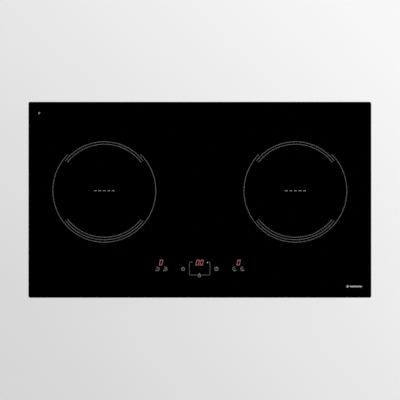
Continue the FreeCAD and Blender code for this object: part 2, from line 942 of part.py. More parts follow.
def coil_support():
    """Sheet shelf on four legs that the coil springs stand on."""
    half_x = support_length / 2
    half_y = support_depth / 2
    solids = [box(zone_x - half_x, zone_x + half_x, zone_y - half_y, zone_y + half_y,
                  support_bottom, support_top)]
    half_leg = support_leg_width / 2
    for side, offsets in ((-1, support_front_legs), (1, support_rear_legs)):
        edge = zone_y + side * half_y
        inside = edge - side * support_sheet
        toe = edge + side * support_foot
        for offset in offsets:
            x0 = zone_x + offset - half_leg
            x1 = x0 + support_leg_width
            solids.append(box(x0, x1, min(edge, inside), max(edge, inside), floor_top,
                              support_top))
            solids.append(box(x0, x1, min(toe, inside), max(toe, inside), floor_top,
                              floor_top + support_sheet))
    holes = [rod(zone_x, zone_y, support_bottom, support_top, hub_inner)]
    for angle in post_angles:
        x, y = on_circle(post_circle_radius, angle)
        holes.append(rod(x, y, support_bottom, support_top, post_radius + post_clearance))
    return joined(solids).cut(group(holes))


def temperature_sensor():
    """Cap that is pressed up to the glass, on a stem inside its spring."""
    cap = rod(zone_x, zone_y, sensor_cap_bottom, sensor_top, sensor_radius)
    crown = [e for e in cap.Edges if e.BoundBox.ZMin > sensor_top - 1e-6]
    cap = cap.makeFillet(sensor_bore_clearance, crown)
    stem = rod(zone_x, zone_y, sensor_cap_bottom - sensor_stem_length, sensor_cap_bottom,
               sensor_stem_radius)
    return joined([cap, stem])


def sensor_spring():
    return coil_spring(zone_x, zone_y, hub_floor, sensor_cap_bottom, sensor_spring_radius,
                       sensor_spring_wire, sensor_spring_turns)


def coil_leads():
    """Both ends of the winding, from its front edge down to the power board."""
    level = carrier_top + lead_clearance + lead_radius
    low = board_top + lead_level
    front = zone_y - carrier_radius - lead_bend
    back = zone_y - board_depth / 2 + lead_board_overlap
    start = zone_y - coil_outer_radius - lead_clearance
    pieces = []
    for offset in lead_offsets:
        x = zone_x + offset
        places = [(start, level), (front, level), (front, low), (back, low), (back, board_top)]
        points = [Vector(x, y, z) for y, z in places]
        pieces.append(wire_run(points, lead_radius, lead_bend))
    return group(pieces)


# Power electronics of the right-hand zone


def standoff_places():
    half_x = board_length / 2 - standoff_inset
    half_y = board_depth / 2 - standoff_inset
    return [(zone_x + i * half_x, zone_y + j * half_y) for i in (-1, 1) for j in (-1, 1)]


def power_board():
    half_x = board_length / 2
    half_y = board_depth / 2
    board = box(zone_x - half_x, zone_x + half_x, zone_y - half_y, zone_y + half_y,
                board_bottom, board_top)
    radius = standoff_pin_radius + standoff_hole_clearance
    holes = [rod(x, y, board_bottom, board_top, radius) for x, y in standoff_places()]
    return board.cut(group(holes))


def board_standoffs():
    """Posts under both power boards, each riveted in the floor, with a pin and a snap head."""
    pieces = []
    for side in (-1, 1):
        for x, y in standoff_places():
            head_top = board_top + standoff_head_height
            pieces.append(joined([
                rod(side * x, y, case_bottom, floor_top, standoff_rivet_radius),
                rod(side * x, y, floor_top, board_bottom, standoff_radius),
                rod(side * x, y, board_bottom, head_top, standoff_pin_radius),
                rod(side * x, y, board_top, head_top, standoff_head_radius),
            ]))
    return group(pieces)


def heat_sink():
    """Extruded comb along Y, with a thicker flange that the power devices sit on."""
    y0 = zone_y - sink_length / 2
    y1 = y0 + sink_length
    top = board_top + sink_height
    solids = [
        box(sink_x0, sink_x1, y0, y1, board_top, board_top + sink_base),
        box(sink_x0, sink_x0 + sink_flange, y0, y1, board_top, top),
    ]
    pitch = (sink_width - sink_flange - sink_fin) / (sink_fin_count - 1)
    for i in range(1, sink_fin_count):
        x = sink_x0 + sink_flange + i * pitch
        solids.append(box(x, x + sink_fin, y0, y1, board_top, top))
    return joined(solids)


def power_transistors():
    """Two switching transistors and a rectifier on the heat sink's flange, with their pins."""
    z0 = board_top + transistor_rise
    pieces = []
    for step in (-1, 0, 1):
        y = zone_y + step * transistor_spacing
        half = transistor_width / 2
        solids = [box(sink_x0 - transistor_thickness, sink_x0, y - half, y + half, z0,
                      z0 + transistor_height)]
        for pin in (-1, 0, 1):
            x = sink_x0 - transistor_thickness / 2
            middle = y + pin * transistor_pin_pitch
            arm = transistor_pin / 2
            solids.append(box(x - arm, x + arm, middle - arm, middle + arm, board_top, z0))
        pieces.append(joined(solids))
    return group(pieces)


def power_capacitors():
    """Row of film capacitors in box cases."""
    pieces = []
    half_x = capacitor_length / 2
    half_y = capacitor_depth / 2
    for i in range(capacitor_count):
        x = zone_x + capacitor_row_offset + (i - (capacitor_count - 1) / 2) * capacitor_pitch
        y = zone_y + capacitor_row_setback
        case = box(x - half_x, x + half_x, y - half_y, y + half_y, board_top,
                   board_top + capacitor_height)
        edges = [e for e in case.Edges if e.BoundBox.ZMax > board_top + capacitor_round]
        pieces.append(case.makeFillet(capacitor_round, edges))
    return group(pieces)


def mains_choke():
    """Wound ring of the mains filter, lying on the right-hand board."""
    centre = Vector(zone_x + choke_offset, zone_y + choke_setback, board_top + choke_thickness)
    return Part.makeTorus(choke_radius, choke_thickness, centre)


# Right-hand blower


def scroll_outline(grow, outlet_y, z):
    """Spiral outline of the blower, opening towards the back; grow moves it outwards."""
    first = impeller_radius + impeller_clearance + grow
    second = first + scroll_step
    third = second + scroll_step
    tongue_x = outlet_tongue - grow
    tongue_y = math.sqrt(first ** 2 - tongue_x ** 2)

    def point(cx, cy, radius, angle):
        turn = math.radians(angle)
        return Vector(fan_x + cx + radius * math.cos(turn), fan_y + cy + radius * math.sin(turn), z)

    start = Vector(fan_x + tongue_x, fan_y + tongue_y, z)
    west = point(0, 0, first, 180)
    south = point(scroll_step, 0, second, 270)
    east = point(scroll_step, scroll_step, third, 0)
    outlet_right = Vector(east.x, fan_y + outlet_y, z)
    outlet_left = Vector(start.x, fan_y + outlet_y, z)
    edges = [
        Part.Arc(start, point(0, 0, first, 130), west).toShape(),
        Part.Arc(west, point(scroll_step, 0, second, 225), south).toShape(),
        Part.Arc(south, point(scroll_step, scroll_step, third, 315), east).toShape(),
        Part.makeLine(east, outlet_right),
        Part.makeLine(outlet_right, outlet_left),
        Part.makeLine(outlet_left, start),
    ]
    return Part.Face(Part.Wire(edges))


def fan_housing():
    """Spiral wall and roof; the motor hangs from the roof and the outlet faces the heat sink."""
    outer = scroll_outline(fan_wall, outlet_reach, cover_top)
    inner = scroll_outline(0, outlet_reach + fan_wall, cover_top)
    shell = outer.extrude(Vector(0, 0, fan_top - cover_top))
    return shell.cut(inner.extrude(Vector(0, 0, fan_top - fan_wall - cover_top)))


def fan_cover():
    """Bottom plate on the case floor, with the inlet and its lip."""
    plate = scroll_outline(fan_wall, outlet_reach, floor_top).extrude(Vector(0, 0, fan_wall))
    lip = rod(fan_x, fan_y, floor_top, cover_top + inlet_lip, inlet_radius + inlet_lip)
    hole = rod(fan_x, fan_y, floor_top, cover_top + inlet_lip, inlet_radius)
    return joined([plate, lip]).cut(hole)


def fan_impeller():
    """Drum of forward-leaning blades on a disc, with the hub cup and its shaft."""
    disc_top = fan_top - fan_wall - impeller_gap
    disc_bottom = disc_top - impeller_disc
    blade_bottom = cover_top + impeller_gap
    cup_bottom = blade_bottom
    ring = impeller_radius - blade_length
    solids = [
        rod(fan_x, fan_y, disc_bottom, disc_top, impeller_radius),
        tube(fan_x, fan_y, blade_bottom, blade_bottom + impeller_disc, impeller_radius,
             impeller_radius - blade_thickness),
        rod(fan_x, fan_y, cup_bottom, disc_bottom, hub_radius),
    ]
    cavity = rod(fan_x, fan_y, cup_bottom + hub_skin, disc_top, hub_radius - hub_skin)
    drum = joined(solids).cut(cavity)
    shaft = rod(fan_x, fan_y, cup_bottom, disc_top, shaft_radius)
    start = fan_x + ring + blade_thickness
    blade = box(start, fan_x + impeller_radius - blade_thickness / 4, fan_y - blade_thickness / 2,
                fan_y + blade_thickness / 2, blade_bottom, disc_bottom)
    leaning = turned(blade, blade_lean, fan_x + impeller_radius - blade_thickness / 2, fan_y)
    blades = [turned(leaning, 360 / blade_count * i, fan_x, fan_y) for i in range(blade_count)]
    return joined([drum, shaft] + blades)


def fan_motor():
    """Stator hanging from the roof inside the impeller's cup, bored for the shaft."""
    z0 = cover_top + impeller_gap + hub_skin + motor_tip_gap
    return tube(fan_x, fan_y, z0, fan_top - fan_wall, motor_radius, shaft_radius + shaft_clearance)


# Mains entry


def terminal_block():
    """Open terminal strip with a wall between each pair of screws."""
    y1 = inner_y - terminal_setback + terminal_depth / 2
    y0 = y1 - terminal_depth
    half = terminal_count * terminal_pitch / 2
    solids = [box(-half, half, y0, y1, floor_top, floor_top + terminal_base)]
    for i in range(terminal_count + 1):
        x = -half + i * terminal_pitch
        solids.append(box(x - terminal_wall / 2, x + terminal_wall / 2, y0, y1, floor_top,
                          floor_top + terminal_wall_height))
    for i in range(terminal_count):
        x = -half + (i + 0.5) * terminal_pitch
        top = floor_top + terminal_base + terminal_screw_height
        solids.append(rod(x, (y0 + y1) / 2, floor_top + terminal_base, top,
                          terminal_screw_radius))
    return joined(solids)


def cable_gland():
    """Cable bushing: a thin flange outside the rear wall and a threaded tube inside."""
    along = Vector(0, 1, 0)
    tube_start = Vector(0, wall_y - gland_body_length, gland_level)
    total = gland_body_length + gland_flange
    body = Part.makeCylinder(gland_body_radius, gland_body_length, tube_start, along)
    flange = Part.makeCylinder(gland_flange_radius, gland_flange, Vector(0, wall_y, gland_level),
                               along)
    bore = Part.makeCylinder(gland_bore, total, tube_start, along)
    return joined([body, flange]).cut(bore)


def gland_nut():
    """Hexagon nut that draws the bushing to the wall from inside."""
    corners = []
    for i in range(7):
        turn = math.radians(60 * i)
        corners.append(Vector(gland_nut_radius * math.cos(turn), inner_y,
                              gland_level + gland_nut_radius * math.sin(turn)))
    hexagon = Part.Face(Part.makePolygon(corners)).extrude(Vector(0, -gland_nut_height, 0))
    bore = Part.makeCylinder(gland_body_radius + gland_thread_clearance, gland_nut_height,
                             Vector(0, inner_y, gland_level), Vector(0, -1, 0))
    return hexagon.cut(bore)


# Touch control


def touch_board():
    half = touch_board_length / 2
    depth = touch_board_depth / 2
    return box(-half, half, touch_board_y - depth, touch_board_y + depth, touch_board_bottom,
               touch_board_top)


def holder_leg_places():
    half_x = touch_board_length / 2 - holder_leg_inset
    half_y = touch_board_depth / 2 - holder_leg_inset
    return [(i * half_x, touch_board_y + j * half_y) for i in (-1, 1) for j in (-1, 1)]


def touch_holder():
    """Tray under the touch board, standing on four legs riveted in the case floor."""
    half = touch_board_length / 2
    depth = touch_board_depth / 2
    y0 = touch_board_y - depth
    y1 = touch_board_y + depth
    z0 = touch_board_bottom - holder_height
    tray = box(-half, half, y0, y1, z0, touch_board_bottom)
    hollow = box(-half + holder_wall, half - holder_wall, y0 + holder_wall, y1 - holder_wall,
                 z0 + holder_wall, touch_board_bottom)
    legs = []
    for x, y in holder_leg_places():
        legs.append(rod(x, y, floor_top, z0, holder_leg_radius))
        legs.append(rod(x, y, case_bottom, floor_top, standoff_rivet_radius))
    return joined([tray.cut(hollow)] + legs)


def key_places():
    """Centres of the seven touch keys."""
    places = [(side * x, key_y) for side in (-1, 1) for x in zone_key_offsets + (lock_offset,)]
    return places + [(timer_key_offset, timer_y)]


def touch_springs():
    """One light spring for each key, from the touch board up to the glass."""
    return group([
        coil_spring(x, y, touch_board_top, glass_bottom, key_spring_radius, key_spring_wire,
                    key_spring_turns)
        for x, y in key_places()
    ])


def displays():
    """Display housings under the digits, and the lamp beside the timer."""
    timer_width = 2 * timer_digit_pitch
    pieces = []
    for x, width in ((-zone_digit_offset, timer_digit_pitch), (timer_digit_offset, timer_width),
                     (zone_digit_offset, timer_digit_pitch)):
        half = width / 2 + display_margin
        pieces.append(box(x - half, x + half, digit_y - display_depth / 2,
                          digit_y + display_depth / 2, touch_board_top,
                          touch_board_top + display_height))
    pieces.append(rod(lamp_offset, digit_y, touch_board_top, touch_board_top + display_height,
                      lamp_radius))
    return group(pieces)


os.makedirs("parts", exist_ok=True)

save("glass_panel", glass_panel())
save_both_sides("zone_print", zone_print())
save("control_print", control_print())
save("lit_digits", lit_digits())
save("worktop_seal", worktop_seal())
save("glass_adhesive", glass_adhesive())
save("glass_frame", glass_frame())
save("lower_case", lower_case())
save("rating_plate", rating_plate_block())
save("screws", screws())

for place, shift in (("front", -clamp_spacing / 2), ("rear", clamp_spacing / 2)):
    clamp = moved(worktop_clamp(), 0, shift)
    save("clamp_" + place + "_right", clamp)
    save("clamp_" + place + "_left", clamp.mirror(Vector(0, 0, 0), Vector(1, 0, 0)))

for name, make in (
    ("mica_sheet", mica_sheet),
    ("coil_winding", coil_winding),
    ("coil_carrier", coil_carrier),
    ("ferrite_bars", ferrite_bars),
    ("coil_shield", coil_shield),
    ("coil_springs", coil_springs),
    ("coil_support", coil_support),
    ("temperature_sensor", temperature_sensor),
    ("sensor_spring", sensor_spring),
    ("coil_leads", coil_leads),
    ("power_board", power_board),
    ("heat_sink", heat_sink),
    ("power_transistors", power_transistors),
    ("power_capacitors", power_capacitors),
    ("fan_housing", fan_housing),
    ("fan_cover", fan_cover),
    ("fan_impeller", fan_impeller),
    ("fan_motor", fan_motor),
):
    save_both_sides(name, make())

save("board_standoffs", board_standoffs())
save("mains_choke", mains_choke())
save("terminal_block", terminal_block())
save("cable_gland", cable_gland())
save("gland_nut", gland_nut())
save("touch_board", touch_board())
save("touch_holder", touch_holder())
save("touch_springs", touch_springs())
save("displays", displays())
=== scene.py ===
"""Looks of the built-in induction cooktop.

It holds the finishes of every part, and the pieces that are too fine for the design model.
"""
import json
import math

import bmesh
import bpy
import numpy as np
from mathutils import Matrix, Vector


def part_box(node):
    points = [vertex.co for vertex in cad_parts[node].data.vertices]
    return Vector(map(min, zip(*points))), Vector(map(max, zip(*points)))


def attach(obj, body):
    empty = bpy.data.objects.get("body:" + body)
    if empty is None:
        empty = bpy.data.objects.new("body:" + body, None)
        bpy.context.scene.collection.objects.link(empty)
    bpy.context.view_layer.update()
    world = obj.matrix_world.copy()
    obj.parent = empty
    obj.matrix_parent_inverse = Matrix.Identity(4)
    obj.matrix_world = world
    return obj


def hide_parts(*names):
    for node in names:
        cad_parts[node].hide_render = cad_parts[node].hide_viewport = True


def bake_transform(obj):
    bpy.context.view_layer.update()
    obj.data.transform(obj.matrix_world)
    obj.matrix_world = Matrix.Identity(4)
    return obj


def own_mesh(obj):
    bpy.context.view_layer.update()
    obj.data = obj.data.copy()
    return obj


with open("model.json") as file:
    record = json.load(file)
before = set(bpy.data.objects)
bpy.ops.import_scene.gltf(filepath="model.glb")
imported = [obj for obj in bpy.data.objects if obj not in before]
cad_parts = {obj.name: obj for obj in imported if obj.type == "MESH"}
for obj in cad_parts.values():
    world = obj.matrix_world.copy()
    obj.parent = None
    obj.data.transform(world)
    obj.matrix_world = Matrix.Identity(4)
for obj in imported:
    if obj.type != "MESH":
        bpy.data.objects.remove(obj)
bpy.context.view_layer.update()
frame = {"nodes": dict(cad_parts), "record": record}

MM = 0.001
SIDES = ("left", "right")

# Coil winding, in millimetres and degrees
COIL_INNER_RADIUS = 25.2
COIL_PITCH = 2.5
COIL_OUTER_END = -100

# Springs: radius to the middle of the wire, thickness of the wire, turns
COIL_SPRING = (5.2, 0.9, 6)
SENSOR_SPRING = (5.0, 0.6, 8)
KEY_SPRING = (3.6, 0.5, 7)
COIL_SPRING_CIRCLE = 84.0
COIL_SPRING_ANGLES = (60, 180, 300)
SPRING_SET_IN = 0.2

# Coil leads
LEAD_RADIUS = 1.05
LEAD_OFFSETS = (-28, -20)

# Choke windings
CHOKE_WIRE = 0.7
CHOKE_CLEARANCE = 0.05
CHOKE_TURNS = 10
CHOKE_STARTS = (25, 205)
CHOKE_SWEEP = 130

# Places on the panel, from its middle
ZONE_KEYS = (71.1, 87.2)
LOCK_AND_POWER_KEY = 34.2
TIMER_KEY = (-0.8, -154.6)
KEY_ROW = -141.0
TIMER_LAMP = 15.6


# ---------------------------------------------------------------- camera, lights and floor

def stand_camera():
    """Long lens straight above the panel; its view takes in the panel and its margins."""
    view_width = 816.4 * MM
    data = bpy.data.cameras.new("camera")
    data.lens = 120
    glass_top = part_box("glass_panel")[1].z
    height = view_width / 2 / math.tan(math.atan(data.sensor_width / 2 / data.lens))
    camera = bpy.data.objects.new("camera", data)
    camera.location = (0.31 * MM, -0.43 * MM, glass_top + height)
    bpy.context.scene.collection.objects.link(camera)
    bpy.context.scene.camera = camera


def softbox(name, place, size, power):
    """Square area light that faces the middle of the panel."""
    data = bpy.data.lights.new(name, "AREA")
    data.shape = "SQUARE"
    data.size = size
    data.energy = power
    light = bpy.data.objects.new(name, data)
    light.location = place
    light.rotation_euler = (-light.location).to_track_quat("-Z", "Y").to_euler()
    light.visible_camera = False
    bpy.context.scene.collection.objects.link(light)


def light_studio():
    """Softboxes all round at half height, and a sky that is pale at the horizon and black overhead."""
    softbox("softbox_right", (2.6, 1.2, 2.3), 1.6, 62)
    softbox("softbox_left", (-2.8, 0.6, 2.1), 1.6, 40)
    softbox("softbox_front", (0.6, -2.9, 2.0), 1.6, 40)
    softbox("softbox_back", (-0.6, 3.0, 2.2), 1.6, 40)
    softbox("softbox_under", (0.9, -1.1, -1.8), 1.6, 26)
    world = bpy.data.worlds.new("studio")
    bpy.context.scene.world = world
    world.use_nodes = True
    tree = world.node_tree
    sky = tree.nodes["Background"]
    place = tree.nodes.new("ShaderNodeTexCoord")
    split = tree.nodes.new("ShaderNodeSeparateXYZ")
    ramp = tree.nodes.new("ShaderNodeValToRGB")
    ramp.color_ramp.elements[0].position = 0.0
    ramp.color_ramp.elements[0].color = (0.60, 0.605, 0.615, 1)
    ramp.color_ramp.elements[1].position = 0.96
    ramp.color_ramp.elements[1].color = (0, 0, 0, 1)
    for height, grey in ((0.06, 0.42), (0.2, 0.18), (0.4, 0.12), (0.75, 0.08)):
        ramp.color_ramp.elements.new(height).color = (grey, grey, grey * 1.03, 1)
    tree.links.new(place.outputs["Generated"], split.inputs[0])
    tree.links.new(split.outputs["Z"], ramp.inputs["Fac"])
    tree.links.new(ramp.outputs["Color"], sky.inputs["Color"])


def lay_floor():
    """Pale floor just under the case; it glows with painted light, brighter to the back right, and takes
    almost no light or shadow of its own. It shows only from above.
    """
    reach = 6.0
    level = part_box("lower_case")[0].z - 0.5 * MM
    mesh = bpy.data.meshes.new("floor")
    corners = [(-reach, -reach, level), (reach, -reach, level), (reach, reach, level), (-reach, reach, level)]
    mesh.from_pydata(corners, [], [(0, 1, 2, 3)])
    floor = bpy.data.objects.new("floor", mesh)
    bpy.context.scene.collection.objects.link(floor)
    material = bpy.data.materials.new("pale_floor")
    material.use_nodes = True
    tree = material.node_tree
    tree.nodes.clear()
    place = tree.nodes.new("ShaderNodeTexCoord")
    turn = tree.nodes.new("ShaderNodeMapping")
    turn.inputs["Rotation"].default_value = (0, 0, math.radians(-42))
    turn.inputs["Location"].default_value = (0.5, 0, 0)
    turn.inputs["Scale"].default_value = (0.25, 0.25, 0.25)
    # Painted light: the floor's glow brightens along this turned gradient towards the back right
    gradient = tree.nodes.new("ShaderNodeTexGradient")
    ramp = tree.nodes.new("ShaderNodeValToRGB")
    ramp.color_ramp.elements[0].color = (0.575, 0.575, 0.575, 1)
    ramp.color_ramp.elements[1].color = (0.98, 0.98, 0.98, 1)
    for position, grey in ((0.375, 0.65), (0.625, 0.90)):
        ramp.color_ramp.elements.new(position).color = (grey, grey, grey, 1)
    glow = tree.nodes.new("ShaderNodeEmission")
    glow.inputs["Strength"].default_value = 1.0
    # Almost no diffuse part, so the floor hardly takes light or shadow from the lamps
    matt = tree.nodes.new("ShaderNodeBsdfDiffuse")
    matt.inputs["Color"].default_value = (0.03, 0.03, 0.03, 1)
    both = tree.nodes.new("ShaderNodeAddShader")
    clear = tree.nodes.new("ShaderNodeBsdfTransparent")
    facing = tree.nodes.new("ShaderNodeNewGeometry")
    path = tree.nodes.new("ShaderNodeLightPath")
    either = tree.nodes.new("ShaderNodeMath")
    either.operation = "MAXIMUM"
    mix = tree.nodes.new("ShaderNodeMixShader")
    out = tree.nodes.new("ShaderNodeOutputMaterial")
    join = tree.links.new
    join(place.outputs["Object"], turn.inputs["Vector"])
    join(turn.outputs["Vector"], gradient.inputs["Vector"])
    join(gradient.outputs["Fac"], ramp.inputs["Fac"])
    join(ramp.outputs["Color"], glow.inputs["Color"])
    join(glow.outputs[0], both.inputs[0])
    join(matt.outputs[0], both.inputs[1])
    join(facing.outputs["Backfacing"], either.inputs[0])
    join(path.outputs["Is Shadow Ray"], either.inputs[1])
    join(either.outputs[0], mix.inputs["Fac"])
    join(both.outputs[0], mix.inputs[1])
    join(clear.outputs[0], mix.inputs[2])
    join(mix.outputs[0], out.inputs["Surface"])
    mesh.materials.append(material)


# ---------------------------------------------------------------- shapes worked out on grids

def unit(vectors):
    """Vectors divided by their lengths."""
    return vectors / np.linalg.norm(vectors, axis=-1, keepdims=True)


def ring_grid(rings, first=0):
    """Faces of rings joined in a row.

    rings is (n, m, 3): ring i joins ring i + 1, and each ring closes on itself. Four-cornered face (i, j)
    has corners (i, j), (i + 1, j), (i + 1, j + 1), (i, j + 1). The two end rings are closed by one face each,
    unless they are the same ring.
    """
    n, m = rings.shape[:2]
    i, j = np.meshgrid(np.arange(n - 1), np.arange(m), indexing="ij")
    k = (j + 1) % m
    corners = np.stack([i * m + j, (i + 1) * m + j, (i + 1) * m + k, i * m + k], axis=-1).reshape(-1, 4)
    whole = np.allclose(rings[0], rings[-1])
    ends = [] if whole else [np.arange(m), np.arange((n - 1) * m, n * m)]
    return (corners + first).tolist() + [(end + first).tolist() for end in ends]


def shells(name, grids, finish, body, lengths=None):
    """One piece made of closed shells, each an (n, m, 3) grid of rings; all faces point outwards.

    It rides on body, unless body is None, when it is left on no body. Where lengths are given,
    a UV map goes once round each ring in U, and along the run in V, in metres.
    """
    faces, first = [], 0
    for grid in grids:
        faces += ring_grid(grid, first)
        first += grid.shape[0] * grid.shape[1]
    points = np.concatenate([grid.reshape(-1, 3) for grid in grids])
    mesh = bpy.data.meshes.new(name)
    mesh.from_pydata(points.tolist(), [], faces)
    shape = bmesh.new()
    shape.from_mesh(mesh)
    bmesh.ops.remove_doubles(shape, verts=shape.verts, dist=1e-7)
    bmesh.ops.recalc_face_normals(shape, faces=shape.faces)
    shape.to_mesh(mesh)
    shape.free()
    if lengths is not None:
        lay_uv(mesh, grids, lengths)
    mesh.polygons.foreach_set("use_smooth", np.ones(len(mesh.polygons), dtype=bool))
    mesh.set_sharp_from_angle(angle=math.radians(38))
    mesh.materials.append(finish)
    piece = bpy.data.objects.new(name, mesh)
    bpy.context.scene.collection.objects.link(piece)
    if body:
        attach(piece, body)
    return piece


def lay_uv(mesh, grids, lengths):
    """UV map of the rings: U goes round each ring from 0 to 1, and V is the length along it in metres."""
    around = np.concatenate([np.tile(np.arange(g.shape[1]) / g.shape[1], g.shape[0]) for g in grids])
    along = np.concatenate([np.repeat(v, g.shape[1]) for g, v in zip(grids, lengths)])
    corner = np.zeros(len(mesh.loops), dtype=np.int64)
    mesh.loops.foreach_get("vertex_index", corner)
    start = np.zeros(len(mesh.polygons), dtype=np.int64)
    mesh.polygons.foreach_get("loop_start", start)
    face_of = np.searchsorted(start, np.arange(len(mesh.loops)), side="right") - 1
    u = around[corner]
    widest = np.maximum.reduceat(u, start)[face_of]
    u = np.where((widest > 0.7) & (u < 0.3), u + 1, u)
    layer = mesh.uv_layers.new(name="run")
    layer.data.foreach_set("uv", np.stack([u, along[corner]], axis=-1).astype(np.float32).ravel())


def carried(path, radius, across, around=10):
    """Circle carried along a path: p(s, a) = path(s) + radius (cos a · side(s) + sin a · rise(s)).

    side is the direction square to the path and to across, and rise is square to both.
    """
    along = unit(np.gradient(path, axis=0))
    side = unit(np.cross(along, np.broadcast_to(across, path.shape)))
    rise = np.cross(side, along)
    a = np.arange(around) * 2 * math.pi / around
    radius = np.broadcast_to(radius, path.shape[:1])[:, None, None]
    spokes = np.cos(a)[None, :, None] * side[:, None] + np.sin(a)[None, :, None] * rise[:, None]
    return path[:, None] + radius * spokes


def run_length(path):
    """Length along a path up to each of its points: the sum of the steps before it."""
    return np.concatenate([[0], np.cumsum(np.linalg.norm(np.diff(path, axis=0), axis=1))])


def turned_profile(centre, profile, around=32):
    """Profile of (radius, height) points turned about an upright axis: p = centre + (r cos a, r sin a, h)."""
    radius, height = np.array(profile).T
    a = np.arange(around) * 2 * math.pi / around
    return np.stack([
        centre[0] + radius[:, None] * np.cos(a), centre[1] + radius[:, None] * np.sin(a),
        centre[2] + height[:, None] + 0 * a
    ], axis=-1)


def soft_block(low, high, radius, steps=2):
    """Block with rounded edges: a sphere of the edge radius, pulled apart to the block's corners.

    p = middle + (half - radius) · sign(n) + radius · n, with n on the sphere and each quarter turn of n
    drawn on its own, so that the flat faces lie between the quarters.
    """
    low, high = np.array(low), np.array(high)
    half = (high - low) / 2
    quarter = np.linspace(0, math.pi / 2, steps + 1)
    turn = np.concatenate([quarter + k * math.pi / 2 for k in range(4)])
    signs = np.repeat([(1, 1), (-1, 1), (-1, -1), (1, -1)], steps + 1, axis=0)
    climb = np.concatenate([quarter - math.pi / 2, quarter])
    upper = np.repeat([-1, 1], steps + 1)
    n = np.stack([np.cos(climb)[:, None] * np.cos(turn), np.cos(climb)[:, None] * np.sin(turn),
                  np.sin(climb)[:, None] + 0 * turn], axis=-1)
    side = np.stack([signs[:, 0] + 0 * upper[:, None], signs[:, 1] + 0 * upper[:, None],
                     upper[:, None] + 0 * turn], axis=-1)
    return (low + high) / 2 + (half - radius) * side + radius * n


# ---------------------------------------------------------------- coils, springs and leads

def node_middle(node):
    """Middle of a design part seen from above, and the two corners of its box."""
    low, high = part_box(node)
    return np.array([(low.x + high.x) / 2, (low.y + high.y) / 2]), low, high


def wind_coil(side, finishes):
    """Flat spiral of litz wire, one layer: a circle of the wire carried along the spiral.

    r = sqrt(r0² + 2 b s) and turn = (r - r0) / b, with s the length along the wire and 2 pi b its pitch.
    """
    sign = -1 if side == "left" else 1
    node = side + "_coil_winding"
    (x, y), low, high = node_middle(node)
    wire = (high.z - low.z) / 2
    outer = (high.x - low.x) / 2 - wire
    inner = COIL_INNER_RADIUS * MM
    b = COIL_PITCH * MM / (2 * math.pi)
    total = (outer ** 2 - inner ** 2) / (2 * b)
    s = np.linspace(0, total, 2400)
    r = np.sqrt(inner ** 2 + 2 * b * s)
    turn = (r - inner) / b
    turn = turn - turn[-1] + math.radians(COIL_OUTER_END)
    level = 0 * r + (low.z + high.z) / 2
    path = np.stack([x + sign * r * np.cos(turn), y + r * np.sin(turn), level], axis=-1)
    grid = carried(path, wire * 0.985, (0, 0, 1), around=8)
    coil = shells(side + "_litz_spiral", [grid], finishes["litz"], side + "_coil", [s])
    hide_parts(node)


def helix(x, y, low, high, spring):
    """Compression spring: a circle of the wire carried along a helix, whose end turns lie flat and closed.

    path(t) = (x + R cos a, y + R sin a, z), with a = 2 pi turns t, and z rising in a straight line between
    the two end turns. spring is (R, thickness of the wire, turns), in millimetres.
    """
    radius, wire, turns = spring[0] * MM, spring[1] * MM, spring[2]
    t = np.linspace(0, 1, int(turns * 26))
    flat = 0.9 / turns
    start, end = low + wire / 2, high - wire / 2
    z = np.interp(t, (0, flat, 1 - flat, 1), (start, start + wire * 0.95, end - wire * 0.95, end))
    a = 2 * math.pi * turns * t
    path = np.stack([x + radius * np.cos(a), y + radius * np.sin(a), z], axis=-1)
    return carried(path, wire / 2, (0, 0, 1), around=8)


def fit_springs(side, finishes):
    """Three springs under the coil, one under the sensor."""
    sign = -1 if side == "left" else 1
    (x, y), _, _ = node_middle(side + "_coil_winding")
    node = side + "_coil_springs"
    _, low, high = node_middle(node)
    circle, reach = COIL_SPRING_CIRCLE * MM, SPRING_SET_IN * MM
    grids = []
    for angle in np.radians(COIL_SPRING_ANGLES):
        px, py = x + sign * circle * math.cos(angle), y + circle * math.sin(angle)
        grids.append(helix(px, py, low.z - reach, high.z + reach, COIL_SPRING))
    springs = shells(side + "_coil_spring_wires", grids, finishes["spring_steel"], "case")
    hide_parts(node)
    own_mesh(springs)

    node = side + "_sensor_spring"
    (sx, sy), low, high = node_middle(node)
    grid = helix(sx, sy, low.z - reach, high.z + reach, SENSOR_SPRING)
    body = side + "_coil"
    spring = shells(side + "_sensor_spring_wire", [grid], finishes["spring_steel"], body)
    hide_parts(node)
    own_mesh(spring)


def fit_key_springs(finishes):
    """Spring under each touch key, from the touch board to the glass."""
    node = "touch_springs"
    _, low, high = node_middle(node)
    bottom, top = low.z - SPRING_SET_IN * MM, high.z + SPRING_SET_IN * MM
    row = (*ZONE_KEYS, LOCK_AND_POWER_KEY)
    places = [(sign * x, KEY_ROW) for sign in (-1, 1) for x in row] + [TIMER_KEY]
    grids = [helix(px * MM, py * MM, bottom, top, KEY_SPRING) for px, py in places]
    springs = shells("key_spring_wires", grids, finishes["key_spring"], "case")
    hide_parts(node)


def through_midpoints(points, count):
    """Smooth run drawn as parabolas: each bends at one inner point, from the middle of one span to the next.

    p(t) = (1 - t)² m0 + 2 t (1 - t) c + t² m1
    """
    points = np.array(points)
    middles = (points[:-1] + points[1:]) / 2
    middles[0], middles[-1] = points[0], points[-1]
    start, bend, end = middles[:-1, None], points[1:-1, None], middles[1:, None]
    t = np.linspace(0, 1, count)[None, :, None]
    bends = (1 - t) ** 2 * start + 2 * t * (1 - t) * bend + t ** 2 * end
    return np.concatenate([bends[:, :-1].reshape(-1, 3), bends[-1, -1:]])


